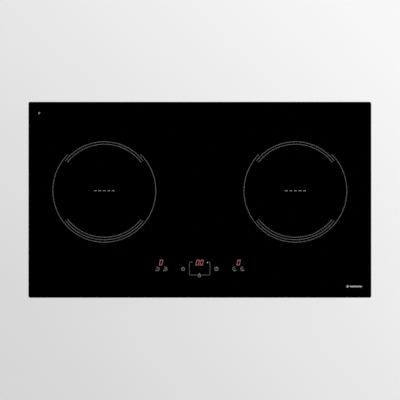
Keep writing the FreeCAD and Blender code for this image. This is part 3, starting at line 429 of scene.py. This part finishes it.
def fit_leads(side, finishes):
    """Two sleeved leads from the winding down to the power board."""
    sign = -1 if side == "left" else 1
    (x, _), _, _ = node_middle(side + "_coil_winding")
    node = side + "_coil_leads"
    _, low, high = node_middle(node)
    level = high.z - LEAD_RADIUS * MM
    front, back = low.y + 1.3 * MM, high.y - 1.5 * MM
    grids, lengths = [], []
    for offset in LEAD_OFFSETS:
        lx = x + sign * offset * MM
        points = [(lx, high.y - 0.2 * MM, level), (lx, high.y - 9 * MM, level), (lx, front, level - 6 * MM),
                  (lx, front, low.z + 12 * MM), (lx, low.y + 14 * MM, low.z + 10 * MM),
                  (lx, back, low.z + 9 * MM), (lx, back, low.z)]
        path = through_midpoints(points, 14)
        grids.append(carried(path, LEAD_RADIUS * MM, (1, 0, 0), around=12))
        lengths.append(run_length(path))
    leads = shells(side + "_lead_sleeves", grids, finishes["lead_sleeve"], None, lengths)
    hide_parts(node)
    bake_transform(leads)


# ---------------------------------------------------------------- the boards

def wind_choke(finishes):
    """Mains choke: a ring core, and two windings of enamelled wire round it.

    wire(t) = centre + (R + q cos w) (cos f, sin f) + q sin w upwards, where w turns once for each turn of the
    wire as f runs along its half of the ring, R is the ring's radius and q the winding's.
    """
    node = "mains_choke"
    (x, y), low, high = node_middle(node)
    reach = (high.z - low.z) / 2
    ring = (high.x - low.x) / 2 - reach
    middle = np.array([x, y, (low.z + high.z) / 2])
    f = np.linspace(0, 2 * math.pi, 49)
    outward = np.stack([np.cos(f), np.sin(f), 0 * f], axis=-1)
    circle = middle + ring * outward
    a = np.arange(16) * 2 * math.pi / 16
    body = reach - 1.6 * MM
    core_rings = circle[:, None] + body * (np.cos(a)[None, :, None] * outward[:, None]
                                          + np.sin(a)[None, :, None] * np.array([0, 0, 1.0]))
    core = shells("choke_core", [core_rings], finishes["ferrite"], "case")
    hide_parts(node)
    wire = CHOKE_WIRE * MM
    q = reach - wire - CHOKE_CLEARANCE * MM
    grids, lengths = [], []
    for start in CHOKE_STARTS:
        t = np.linspace(0, 1, 261)
        w = 2 * math.pi * CHOKE_TURNS * t
        f = np.radians(start + CHOKE_SWEEP * t)
        outward = np.stack([np.cos(f), np.sin(f), 0 * f], axis=-1)
        climb = np.stack([0 * w, 0 * w, q * np.sin(w)], axis=-1)
        path = middle + (ring + q * np.cos(w))[:, None] * outward + climb
        across = np.stack([-np.sin(f), np.cos(f), 0 * f], axis=-1)
        grids.append(carried(path, wire, across, around=8))
        lengths.append(run_length(path))
    shells("choke_windings", grids, finishes["litz"], "case", lengths)


def chip(x, y, z, length, width, height, pins):
    """Flat package with a row of legs along each long side; the legs run down to z."""
    reach, half = length / 2, width / 2
    body = soft_block((x - reach, y - half, z + 0.4), (x + reach, y + half, z + height), 0.3, 1)
    legs = []
    for i in range(pins):
        px = x + (i - (pins - 1) / 2) * (length - 2.5) / max(pins - 1, 1)
        for edge in (-1, 1):
            py = y + edge * (half + 0.45)
            legs.append(soft_block((px - 0.25, py - 0.5, z), (px + 0.25, py + 0.5, z + height * 0.6), 0.1, 1))
    return body, legs


def can(x, y, z, radius, height):
    """Electrolytic capacitor: profile with a rolled groove near the foot, a rim and a sunken top."""
    r, h = radius, height
    profile = [(r * 0.86, 0), (r, 0.5), (r, 1.6), (r * 0.92, 2.1), (r, 2.7), (r, h - 0.6), (r * 0.9, h),
               (r * 0.84, h), (r * 0.8, h - 0.35)]
    return turned_profile((x, y, z), profile, 20)


def resistor(x, y, z, along):
    """Body with swollen ends on a wire that bends down to the board at both ends.

    It is a circle carried along the wire, and its radius follows the run.
    """
    t = np.linspace(-1, 1, 21)
    drop = np.clip((np.abs(t) - 0.82) / 0.18, 0, 1)
    reach = 6.2 * np.sign(t) * np.minimum(np.abs(t), 0.86)
    radius = np.interp(np.abs(t), (0, 0.45, 0.55, 0.62, 0.66, 1), (1.05, 1.05, 1.35, 1.2, 0.3, 0.3))
    reach += 0.3 * t
    height = z + 1.5 - 1.45 * drop ** 1.5
    path = np.stack([x + reach * (along == "x"), y + reach * (along == "y"), height], axis=-1)
    return carried(path, radius, (0, 1, 0) if along == "x" else (1, 0, 0), around=10)


def socket(x, y, z, length, width, height):
    """Plug socket: a base and four thin walls, open at the top, with a row of pins inside."""
    x0, x1, y0, y1, w = x - length / 2, x + length / 2, y - width / 2, y + width / 2, 0.8
    walls = [((x0, y0, z), (x1, y1, z + 1.6)), ((x0, y0, z + 1.2), (x0 + w, y1, z + height)),
             ((x1 - w, y0, z + 1.2), (x1, y1, z + height)), ((x0, y0, z + 1.2), (x1, y0 + w, z + height)),
             ((x0, y1 - w, z + 1.2), (x1, y1, z + height))]
    pins = [soft_block((px - 0.3, y - 0.3, z + 1.4), (px + 0.3, y + 0.3, z + height - 1.2), 0.1, 1)
            for px in np.arange(x0 + 2.2, x1 - 1.8, 2.5)]
    return [soft_block(low, high, 0.25, 1) for low, high in walls], pins


def fill_board(side, finishes):
    """Small devices of one power board.

    Places and sizes are in millimetres from the board's inner front corner, with x away from the middle.
    """
    sign = -1 if side == "left" else 1
    _, low, high = node_middle(side + "_power_board")
    inner = low.x if sign == 1 else high.x

    def set_down(grids):
        """Grids turned to metres and moved on to the board, mirrored for the left side."""
        scaled = [g * MM for g in grids]
        for g in scaled:
            g[..., 0] = inner + sign * g[..., 0]
            g[..., 1] += low.y
            g[..., 2] += high.z
        return scaled

    chip_places = [(140, 66, 20, 8), (140, 82, 20, 8), (56, 70, 12, 4), (20, 100, 9, 4)]
    can_places = [(84, 70, 5, 12), (84, 84, 5, 12), (98, 69, 4, 11), (98, 80, 4, 11), (144, 112, 5, 12),
                  (22, 122, 4, 9)]
    socket_places = [(30, 10, 15), (58, 10, 10), (126, 10, 12.5), (14, 140, 10), (44, 146, 12.5)]
    resistor_places = [(60, 58, "x"), (76, 58, "x"), (92, 58, "x"), (22, 66, "y"), (28, 66, "y"),
                       (152, 96, "y"), (80, 24, "x"), (104, 24, "x"), (150, 140, "y"), (30, 30, "x")]
    black, legs, white, pins = [], [], [], []
    for x, y, length, count in chip_places:
        body, feet = chip(x, y, 0, length, 6.4, 3.4, count)
        black.append(body)
        legs += feet
    black.append(soft_block((106, 86, 0), (126, 101, 13), 0.6))
    cans = [can(x, y, 0, radius, height) for x, y, radius, height in can_places]
    for x, y, length in socket_places:
        walls, rods = socket(x, y, 0, length, 6, 7.5)
        white += walls
        pins += rods
    ochre = [soft_block((104, 62, 0), (114, 66.5, 9), 0.5), soft_block((118, 62, 0), (128, 66.5, 9), 0.5),
             soft_block((109, 118, 1), (127, 140, 12.5), 1.5, 3)]
    core = [soft_block(start, end, 0.4, 1) for start, end in (
        ((113, 113, 0.5), (123, 145, 3.5)), ((113, 113, 10), (123, 145, 13.5)),
        ((113, 113, 0.5), (123, 117, 13.5)), ((113, 141, 0.5), (123, 145, 13.5)))]
    fixed = [resistor(x, y, 0, along) for x, y, along in resistor_places]
    shells(side + "_board_packages", set_down(black), finishes["device_black"], "case")
    shells(side + "_board_pins", set_down(legs + pins), finishes["zinc_screw"], "case")
    shells(side + "_board_sockets", set_down(white), finishes["nylon"], "case")
    shells(side + "_board_cans", set_down(cans), finishes["device_black"], "case")
    ochre_finish = finishes["capacitor_case"]
    shells(side + "_board_wound_blocks", set_down(ochre), ochre_finish, "case")
    shells(side + "_board_transformer_core", set_down(core), finishes["ferrite"], "case")
    shells(side + "_board_resistors", set_down(fixed), finishes["sensor_ceramic"], "case")


def fill_touch_board(finishes):
    """Controller and its small parts on the touch board."""
    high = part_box("touch_board")[1]
    grids = [soft_block((-7, -24, 0.1), (3, -14, 1.6), 0.2, 1)]
    for x in np.arange(-60, 61, 12):
        grids.append(soft_block((x - 1, -36, 0), (x + 1, -34.8, 0.9), 0.1, 1))
        grids.append(soft_block((x + 3, -27, 0), (x + 4.2, -25, 0.9), 0.1, 1))
    placed = [g * MM + np.array([0, high.y, high.z]) for g in grids]
    shells("touch_board_chips", placed, finishes["device_black"], "case")


# ---------------------------------------------------------------- finishes

class Finish:
    """A material under construction: one Principled shader, and small helpers that wire patterns into it."""

    def __init__(self, name, colour, roughness, metallic=0.0, specular=0.5):
        self.material = bpy.data.materials.new(name)
        self.material.use_nodes = True
        self.tree = self.material.node_tree
        self.shader = self.tree.nodes["Principled BSDF"]
        self.shader.inputs["Base Color"].default_value = (*colour, 1)
        self.shader.inputs["Roughness"].default_value = roughness
        self.shader.inputs["Metallic"].default_value = metallic
        self.shader.inputs["Specular IOR Level"].default_value = specular

    def join(self, source, target):
        """Wires an output to an input."""
        self.tree.links.new(source, target)

    def place(self, scale=(1, 1, 1), turn=0.0, source="Object"):
        """Position in the frame, stretched along the axes and turned about Z in degrees."""
        coordinates = self.tree.nodes.new("ShaderNodeTexCoord")
        mapping = self.tree.nodes.new("ShaderNodeMapping")
        mapping.inputs["Scale"].default_value = scale
        mapping.inputs["Rotation"].default_value = (0, 0, math.radians(turn))
        self.join(coordinates.outputs[source], mapping.inputs["Vector"])
        return mapping.outputs["Vector"]

    def noise(self, where, per_metre, detail):
        """Cloudy pattern with so many blots to a metre."""
        node = self.tree.nodes.new("ShaderNodeTexNoise")
        node.inputs["Scale"].default_value = per_metre
        node.inputs["Detail"].default_value = detail
        node.inputs["Roughness"].default_value = 0.55
        self.join(where, node.inputs["Vector"])
        return node.outputs["Fac"]

    def cells(self, where, per_metre, output="Distance"):
        """Crystal or bubble pattern with so many cells to a metre."""
        node = self.tree.nodes.new("ShaderNodeTexVoronoi")
        node.inputs["Scale"].default_value = per_metre
        self.join(where, node.inputs["Vector"])
        return node.outputs[output]

    def waves(self, where, per_metre, direction):
        """Even ridges across one direction."""
        node = self.tree.nodes.new("ShaderNodeTexWave")
        node.bands_direction = direction
        node.inputs["Scale"].default_value = per_metre
        self.join(where, node.inputs["Vector"])
        return node.outputs["Fac"]

    def ramp(self, factor, *stops):
        """Colours along a factor; each stop is (position, colour)."""
        node = self.tree.nodes.new("ShaderNodeValToRGB")
        while len(node.color_ramp.elements) < len(stops):
            node.color_ramp.elements.new(0.5)
        for element, (position, colour) in zip(node.color_ramp.elements, stops):
            element.position = position
            element.color = (*colour, 1)
        self.join(factor, node.inputs["Fac"])
        return node.outputs["Color"]

    def spread(self, factor, low, high, start=0.0, end=1.0):
        """Number from low to high as the factor goes from start to end."""
        node = self.tree.nodes.new("ShaderNodeMapRange")
        node.inputs["From Min"].default_value = start
        node.inputs["From Max"].default_value = end
        node.inputs["To Min"].default_value = low
        node.inputs["To Max"].default_value = high
        self.join(factor, node.inputs["Value"])
        return node.outputs["Result"]

    def combine(self, operation, first, second):
        """Sum, product or such of two values, each a number or a pattern."""
        node = self.tree.nodes.new("ShaderNodeMath")
        node.operation = operation
        for socket, value in zip(node.inputs, (first, second)):
            if isinstance(value, (int, float)):
                socket.default_value = value
            else:
                self.join(value, socket)
        return node.outputs[0]

    def near(self, value, middle, half):
        """1 where a place is no further than half from the middle, and 0 elsewhere, in millimetres."""
        node = self.tree.nodes.new("ShaderNodeMath")
        node.operation = "COMPARE"
        self.join(value, node.inputs[0])
        node.inputs[1].default_value = middle * MM
        node.inputs[2].default_value = half * MM
        return node.outputs[0]

    def colour(self, source):
        """Takes the surface's colour from a pattern."""
        self.join(source, self.shader.inputs["Base Color"])

    def rough(self, source):
        """Takes the surface's roughness from a pattern."""
        self.join(source, self.shader.inputs["Roughness"])

    def bump(self, height, depth, strength=1.0):
        """Relief of the given depth in metres."""
        node = self.tree.nodes.new("ShaderNodeBump")
        node.inputs["Distance"].default_value = depth
        node.inputs["Strength"].default_value = strength
        self.join(height, node.inputs["Height"])
        self.join(node.outputs["Normal"], self.shader.inputs["Normal"])


def black_glass():
    """Polished black glass ceramic with the faintest wiping marks in its gloss."""
    finish = Finish("black_glass", (0.0002, 0.0002, 0.0002), 0.05)
    where = finish.place()
    finish.rough(finish.spread(finish.noise(where, 9, 5), 0.035, 0.075))
    return finish.material


def enamel_print():
    """Grey enamel in fine dots, as screen-printed glass decor has.

    Each field is a block of the panel, in millimetres, whose marks are printed denser than the lines: its
    middle and half width in X, its middle and half depth in Y, and how much denser. The fields are the keys
    of both zones, the power key, the timer key, the lock, the ticks in the zones, and the two corner marks.
    """
    finish = Finish("enamel_print", (0.15, 0.15, 0.15), 0.45)
    where = finish.place()
    split = finish.tree.nodes.new("ShaderNodeSeparateXYZ")
    finish.join(where, split.inputs[0])
    x, y = split.outputs["X"], split.outputs["Y"]
    both = finish.combine("ABSOLUTE", x, 0.0)
    fields = [(both, 79, 14, -141, 8, 0.34), (x, 34, 7, -141, 8, 0.42), (x, -1, 4.2, -154, 7, 0.5),
              (x, -34, 7, -141, 8, 0.08), (both, 195, 26, 18.5, 4, 0.42), (x, 330, 30, -177, 10, 1.0),
              (x, -330, 30, 177, 10, 0.55)]
    density = 0.0
    for across, middle_x, half_x, middle_y, half_y, share in fields:
        in_x, in_y = finish.near(across, middle_x, half_x), finish.near(y, middle_y, half_y)
        inside = finish.combine("MULTIPLY", in_x, in_y)
        density = finish.combine("ADD", finish.combine("MULTIPLY", inside, share), density)
    grain = finish.noise(where, 2600, 2)
    dots = finish.spread(grain, 0.82, 1.12, 0.35, 0.65)
    level = finish.combine("MULTIPLY", finish.spread(density, 0.140, 0.39), dots)
    finish.colour(finish.ramp(level, (0.0, (0, 0, 0)), (1.0, (1.0, 1.0, 1.02))))
    return finish.material


def lit_red():
    """Light in the glass: red display segments, and the cool white timer lamp to the right of them."""
    finish = Finish("lit_red", (0.02, 0.01, 0.01), 0.3)
    where = finish.place()
    split = finish.tree.nodes.new("ShaderNodeSeparateXYZ")
    finish.join(where, split.inputs[0])
    lamp = finish.near(split.outputs["X"], TIMER_LAMP, 2.5)
    glow = finish.ramp(lamp, (0.0, (0.35, 0.108, 0.118)), (1.0, (0.33, 0.42, 0.44)))
    finish.join(glow, finish.shader.inputs["Emission Color"])
    finish.shader.inputs["Emission Strength"].default_value = 1.0
    finish.rough(finish.spread(finish.noise(where, 900, 2), 0.25, 0.4))
    return finish.material


def seal_foam():
    """Closed-cell black foam: pitted, dull, with painted shade darkening the middle of each pit."""
    finish = Finish("seal_foam", (0.02, 0.02, 0.02), 0.9, specular=0.25)
    where = finish.place()
    pits = finish.cells(where, 1500)
    # Painted shade: darkest at the middle of each cell, where the bump sinks deepest
    finish.colour(finish.ramp(pits, (0.1, (0.012, 0.012, 0.012)), (0.7, (0.035, 0.035, 0.036))))
    finish.bump(pits, 0.15 * MM, 0.6)
    return finish.material


def silicone():
    """Black silicone adhesive with a slow ripple from the nozzle."""
    finish = Finish("silicone", (0.015, 0.015, 0.016), 0.35)
    finish.bump(finish.noise(finish.place(), 160, 3), 0.3 * MM, 0.5)
    return finish.material


def zinc_sheet():
    """Zinc-coated steel: spangle crystals that differ in tone and gloss, and faint rolling marks."""
    finish = Finish("zinc_sheet", (0.55, 0.57, 0.59), 0.42, metallic=1.0)
    where = finish.place()
    crystals = finish.cells(where, 230, "Color")
    tone = finish.combine("ADD", finish.combine("MULTIPLY", crystals, 0.45),
                          finish.combine("MULTIPLY", finish.noise(where, 420, 4), 0.55))
    finish.colour(finish.ramp(tone, (0.15, (0.50, 0.515, 0.53)), (0.85, (0.62, 0.635, 0.65))))
    finish.rough(finish.spread(tone, 0.33, 0.47))
    rolled = finish.noise(finish.place((1, 60, 1)), 30, 3)
    finish.bump(rolled, 0.02 * MM, 0.5)
    return finish.material


def zinc_screw():
    """Bright zinc plating with a slight yellow cast."""
    finish = Finish("zinc_screw", (0.70, 0.69, 0.64), 0.28, metallic=1.0)
    tone = finish.noise(finish.place(), 900, 3)
    finish.colour(finish.ramp(tone, (0.3, (0.60, 0.59, 0.54)), (0.7, (0.76, 0.75, 0.71))))
    finish.rough(finish.spread(tone, 0.2, 0.36))
    return finish.material


def label_foil():
    """Silver foil label, blank but for a ruled grid of fine lines."""
    finish = Finish("label_foil", (0.75, 0.76, 0.77), 0.32, metallic=0.6)
    brick = finish.tree.nodes.new("ShaderNodeTexBrick")
    brick.offset = 0.0
    brick.inputs["Scale"].default_value = 1.0
    brick.inputs["Brick Width"].default_value = 20 * MM
    brick.inputs["Row Height"].default_value = 8 * MM
    brick.inputs["Mortar Size"].default_value = 0.25 * MM
    brick.inputs["Color1"].default_value = (0.74, 0.75, 0.76, 1)
    brick.inputs["Color2"].default_value = (0.74, 0.75, 0.76, 1)
    brick.inputs["Mortar"].default_value = (0.08, 0.08, 0.085, 1)
    finish.join(finish.place(), brick.inputs["Vector"])
    finish.colour(brick.outputs["Color"])
    finish.rough(finish.spread(finish.noise(finish.place((1, 40, 1)), 60, 3), 0.24, 0.4))
    return finish.material


def mica_board():
    """Pressed mica: overlapping pale flakes with a pearly gloss."""
    finish = Finish("mica_board", (0.60, 0.55, 0.43), 0.4)
    where = finish.place()
    flakes = finish.cells(where, 260, "Color")
    shade = finish.combine("ADD", finish.combine("MULTIPLY", flakes, 0.6),
                           finish.combine("MULTIPLY", finish.noise(where, 90, 5), 0.4))
    finish.colour(finish.ramp(shade, (0.2, (0.48, 0.42, 0.31)), (0.8, (0.70, 0.66, 0.54))))
    finish.rough(finish.spread(shade, 0.28, 0.5))
    finish.bump(finish.cells(where, 260), 0.05 * MM, 0.4)
    return finish.material


def litz_wire():
    """Enamelled copper strands: fine twisted ridges that follow the wire, with painted shade in the grooves
    and a painted highlight on the crests.
    """
    finish = Finish("litz_wire", (0.70, 0.34, 0.17), 0.32, metallic=1.0)
    along = finish.place((1, 1, 1), source="UV")
    strands = finish.waves(along, 1.0, "DIAGONAL")
    # Painted shade and highlight: darkest in the grooves between strands, brighter than the copper on their
    # crests
    finish.colour(finish.ramp(strands, (0.0, (0.34, 0.13, 0.06)), (0.5, (0.72, 0.36, 0.18)),
                              (1.0, (0.86, 0.50, 0.28))))
    finish.rough(finish.spread(strands, 0.5, 0.26))
    finish.bump(strands, 0.25 * MM, 0.7)
    return finish.material


def moulded(name, dark, light):
    """Moulded plastic with a fine spark-eroded grain and slight flow marks."""
    finish = Finish(name, dark, 0.6)
    where = finish.place()
    tone = finish.noise(where, 45, 5)
    finish.colour(finish.ramp(tone, (0.3, dark), (0.75, light)))
    finish.rough(finish.spread(tone, 0.42, 0.6))
    finish.bump(finish.noise(where, 1750, 2), 0.03 * MM, 0.5)
    return finish.material


def ferrite_ceramic():
    """Sintered ferrite: dark, dense and slightly speckled."""
    finish = Finish("ferrite_ceramic", (0.035, 0.035, 0.04), 0.5)
    grain = finish.noise(finish.place(), 1400, 3)
    finish.colour(finish.ramp(grain, (0.3, (0.022, 0.022, 0.026)), (0.8, (0.07, 0.07, 0.076))))
    finish.rough(finish.spread(grain, 0.38, 0.62))
    return finish.material


def mill_aluminium():
    """Rolled aluminium sheet and extrusion with fine lines along Y."""
    finish = Finish("mill_aluminium", (0.74, 0.75, 0.76), 0.34, metallic=1.0)
    lines = finish.noise(finish.place((60, 1, 60)), 18, 4)
    finish.colour(finish.ramp(lines, (0.3, (0.66, 0.67, 0.68)), (0.7, (0.80, 0.81, 0.82))))
    finish.rough(finish.spread(lines, 0.26, 0.44))
    finish.bump(lines, 0.01 * MM, 0.6)
    return finish.material


def spring_steel(name="spring_steel", dark=(0.42, 0.42, 0.43), light=(0.62, 0.62, 0.63)):
    """Drawn wire with fine die lines."""
    finish = Finish(name, light, 0.25, metallic=1.0)
    tone = finish.noise(finish.place(), 500, 3)
    finish.colour(finish.ramp(tone, (0.3, dark), (0.7, light)))
    finish.rough(finish.spread(tone, 0.18, 0.34))
    return finish.material


def sensor_ceramic():
    """White glazed ceramic, slightly clouded."""
    finish = Finish("sensor_ceramic", (0.84, 0.83, 0.78), 0.3)
    tone = finish.noise(finish.place(), 300, 4)
    finish.colour(finish.ramp(tone, (0.3, (0.78, 0.765, 0.70)), (0.7, (0.88, 0.87, 0.83))))
    finish.rough(finish.spread(tone, 0.22, 0.4))
    return finish.material


def woven_sleeve():
    """Glass-fibre sleeve: over-and-under weave along the lead, with painted shade on the sunken squares."""
    finish = Finish("woven_sleeve", (0.78, 0.75, 0.66), 0.75)
    weave = finish.tree.nodes.new("ShaderNodeTexChecker")
    weave.inputs["Scale"].default_value = 1.0
    # Painted shade: the darker second colour lies on the sunken squares of the weave
    weave.inputs["Color1"].default_value = (0.84, 0.82, 0.74, 1)
    weave.inputs["Color2"].default_value = (0.58, 0.55, 0.46, 1)
    finish.join(finish.place(source="UV"), weave.inputs["Vector"])
    finish.colour(weave.outputs["Color"])
    finish.bump(weave.outputs["Fac"], 0.12 * MM, 0.7)
    return finish.material


def circuit_board():
    """Green solder mask over copper: rectangular fields of copper with narrow darker gaps between them."""
    finish = Finish("circuit_board", (0.02, 0.16, 0.07), 0.3)
    where = finish.place()
    fields = []
    for width, row, shift in ((13 * MM, 5 * MM, 0.3), (7.4 * MM, 11 * MM, 0.5)):
        brick = finish.tree.nodes.new("ShaderNodeTexBrick")
        brick.offset = shift
        brick.squash = 0.6
        brick.squash_frequency = 3
        for name, value in (("Scale", 1.0), ("Brick Width", width), ("Row Height", row),
                            ("Mortar Size", 0.22 * MM), ("Mortar Smooth", 0.3)):
            brick.inputs[name].default_value = value
        finish.join(where, brick.inputs["Vector"])
        fields.append(brick.outputs["Fac"])
    gaps = finish.combine("MAXIMUM", *fields)
    finish.colour(finish.ramp(gaps, (0.0, (0.020, 0.15, 0.065)), (1.0, (0.008, 0.065, 0.028))))
    finish.bump(finish.spread(gaps, 1.0, 0.0), 0.035 * MM, 0.6)
    finish.rough(finish.spread(finish.noise(where, 300, 3), 0.22, 0.38))
    return finish.material


def device_black():
    """Black epoxy package, matt on top from the mould."""
    finish = Finish("device_black", (0.02, 0.02, 0.022), 0.45)
    grain = finish.noise(finish.place(), 2000, 2)
    finish.rough(finish.spread(grain, 0.36, 0.56))
    finish.bump(grain, 0.02 * MM, 0.6)
    return finish.material


def capacitor_case():
    """Glossy ochre box, its tone and gloss varying a little."""
    finish = Finish("capacitor_case", (0.72, 0.46, 0.07), 0.22)
    tone = finish.noise(finish.place(), 120, 3)
    finish.colour(finish.ramp(tone, (0.3, (0.66, 0.40, 0.05)), (0.7, (0.78, 0.52, 0.10))))
    finish.rough(finish.spread(tone, 0.16, 0.3))
    return finish.material


def motor_steel():
    """Stack of steel laminations, seen edge on as thin level lines."""
    finish = Finish("motor_steel", (0.40, 0.40, 0.41), 0.4, metallic=1.0)
    sheets = finish.waves(finish.place(), 320, "Z")
    finish.colour(finish.ramp(sheets, (0.0, (0.22, 0.22, 0.23)), (0.6, (0.48, 0.48, 0.49))))
    finish.bump(sheets, 0.08 * MM, 0.6)
    finish.rough(finish.spread(sheets, 0.5, 0.3))
    return finish.material


def nylon():
    """Off-white nylon, milky and half matt."""
    finish = Finish("nylon", (0.80, 0.79, 0.73), 0.4)
    tone = finish.noise(finish.place(), 200, 3)
    finish.colour(finish.ramp(tone, (0.3, (0.74, 0.73, 0.66)), (0.7, (0.85, 0.84, 0.79))))
    finish.rough(finish.spread(tone, 0.32, 0.48))
    return finish.material


def paint_frame():
    """Gives every design part its finish, by the record's material slots."""
    by_slot = {
        "black_glass": black_glass(),
        "enamel_print": enamel_print(),
        "lit_red": lit_red(),
        "seal_foam": seal_foam(),
        "silicone": silicone(),
        "zinc_sheet": zinc_sheet(),
        "zinc_screw": zinc_screw(),
        "label": label_foil(),
        "mica": mica_board(),
        "litz": litz_wire(),
        "dark_moulding": moulded("dark_moulding", (0.018, 0.018, 0.02), (0.035, 0.035, 0.038)),
        "ferrite": ferrite_ceramic(),
        "mill_aluminium": mill_aluminium(),
        "spring_steel": spring_steel(),
        "sensor_ceramic": sensor_ceramic(),
        "lead_sleeve": woven_sleeve(),
        "circuit_board": circuit_board(),
        "device_black": device_black(),
        "capacitor_case": capacitor_case(),
        "fan_moulding": moulded("fan_moulding", (0.012, 0.012, 0.013), (0.026, 0.026, 0.028)),
        "impeller_plastic": moulded("impeller_plastic", (0.03, 0.03, 0.032), (0.055, 0.055, 0.058)),
        "motor_steel": motor_steel(),
        "nylon": nylon(),
        "terminal_plastic": moulded("terminal_plastic", (0.55, 0.55, 0.53), (0.66, 0.66, 0.64)),
        "key_spring": spring_steel("key_spring", (0.62, 0.45, 0.20), (0.85, 0.70, 0.40)),
        "display_case": moulded("display_case", (0.05, 0.05, 0.055), (0.08, 0.08, 0.085)),
    }
    for part in frame["record"]["subparts"]:
        mesh = frame["nodes"][part["node"]].data
        mesh.materials.clear()
        mesh.materials.append(by_slot[part["material_slot"]])
    return by_slot


bpy.context.scene.view_settings.view_transform = "Standard"
stand_camera()
light_studio()
lay_floor()
finishes = paint_frame()
for side in SIDES:
    wind_coil(side, finishes)
    fit_springs(side, finishes)
    fit_leads(side, finishes)
    fill_board(side, finishes)
fit_key_springs(finishes)
wind_choke(finishes)
fill_touch_board(finishes)
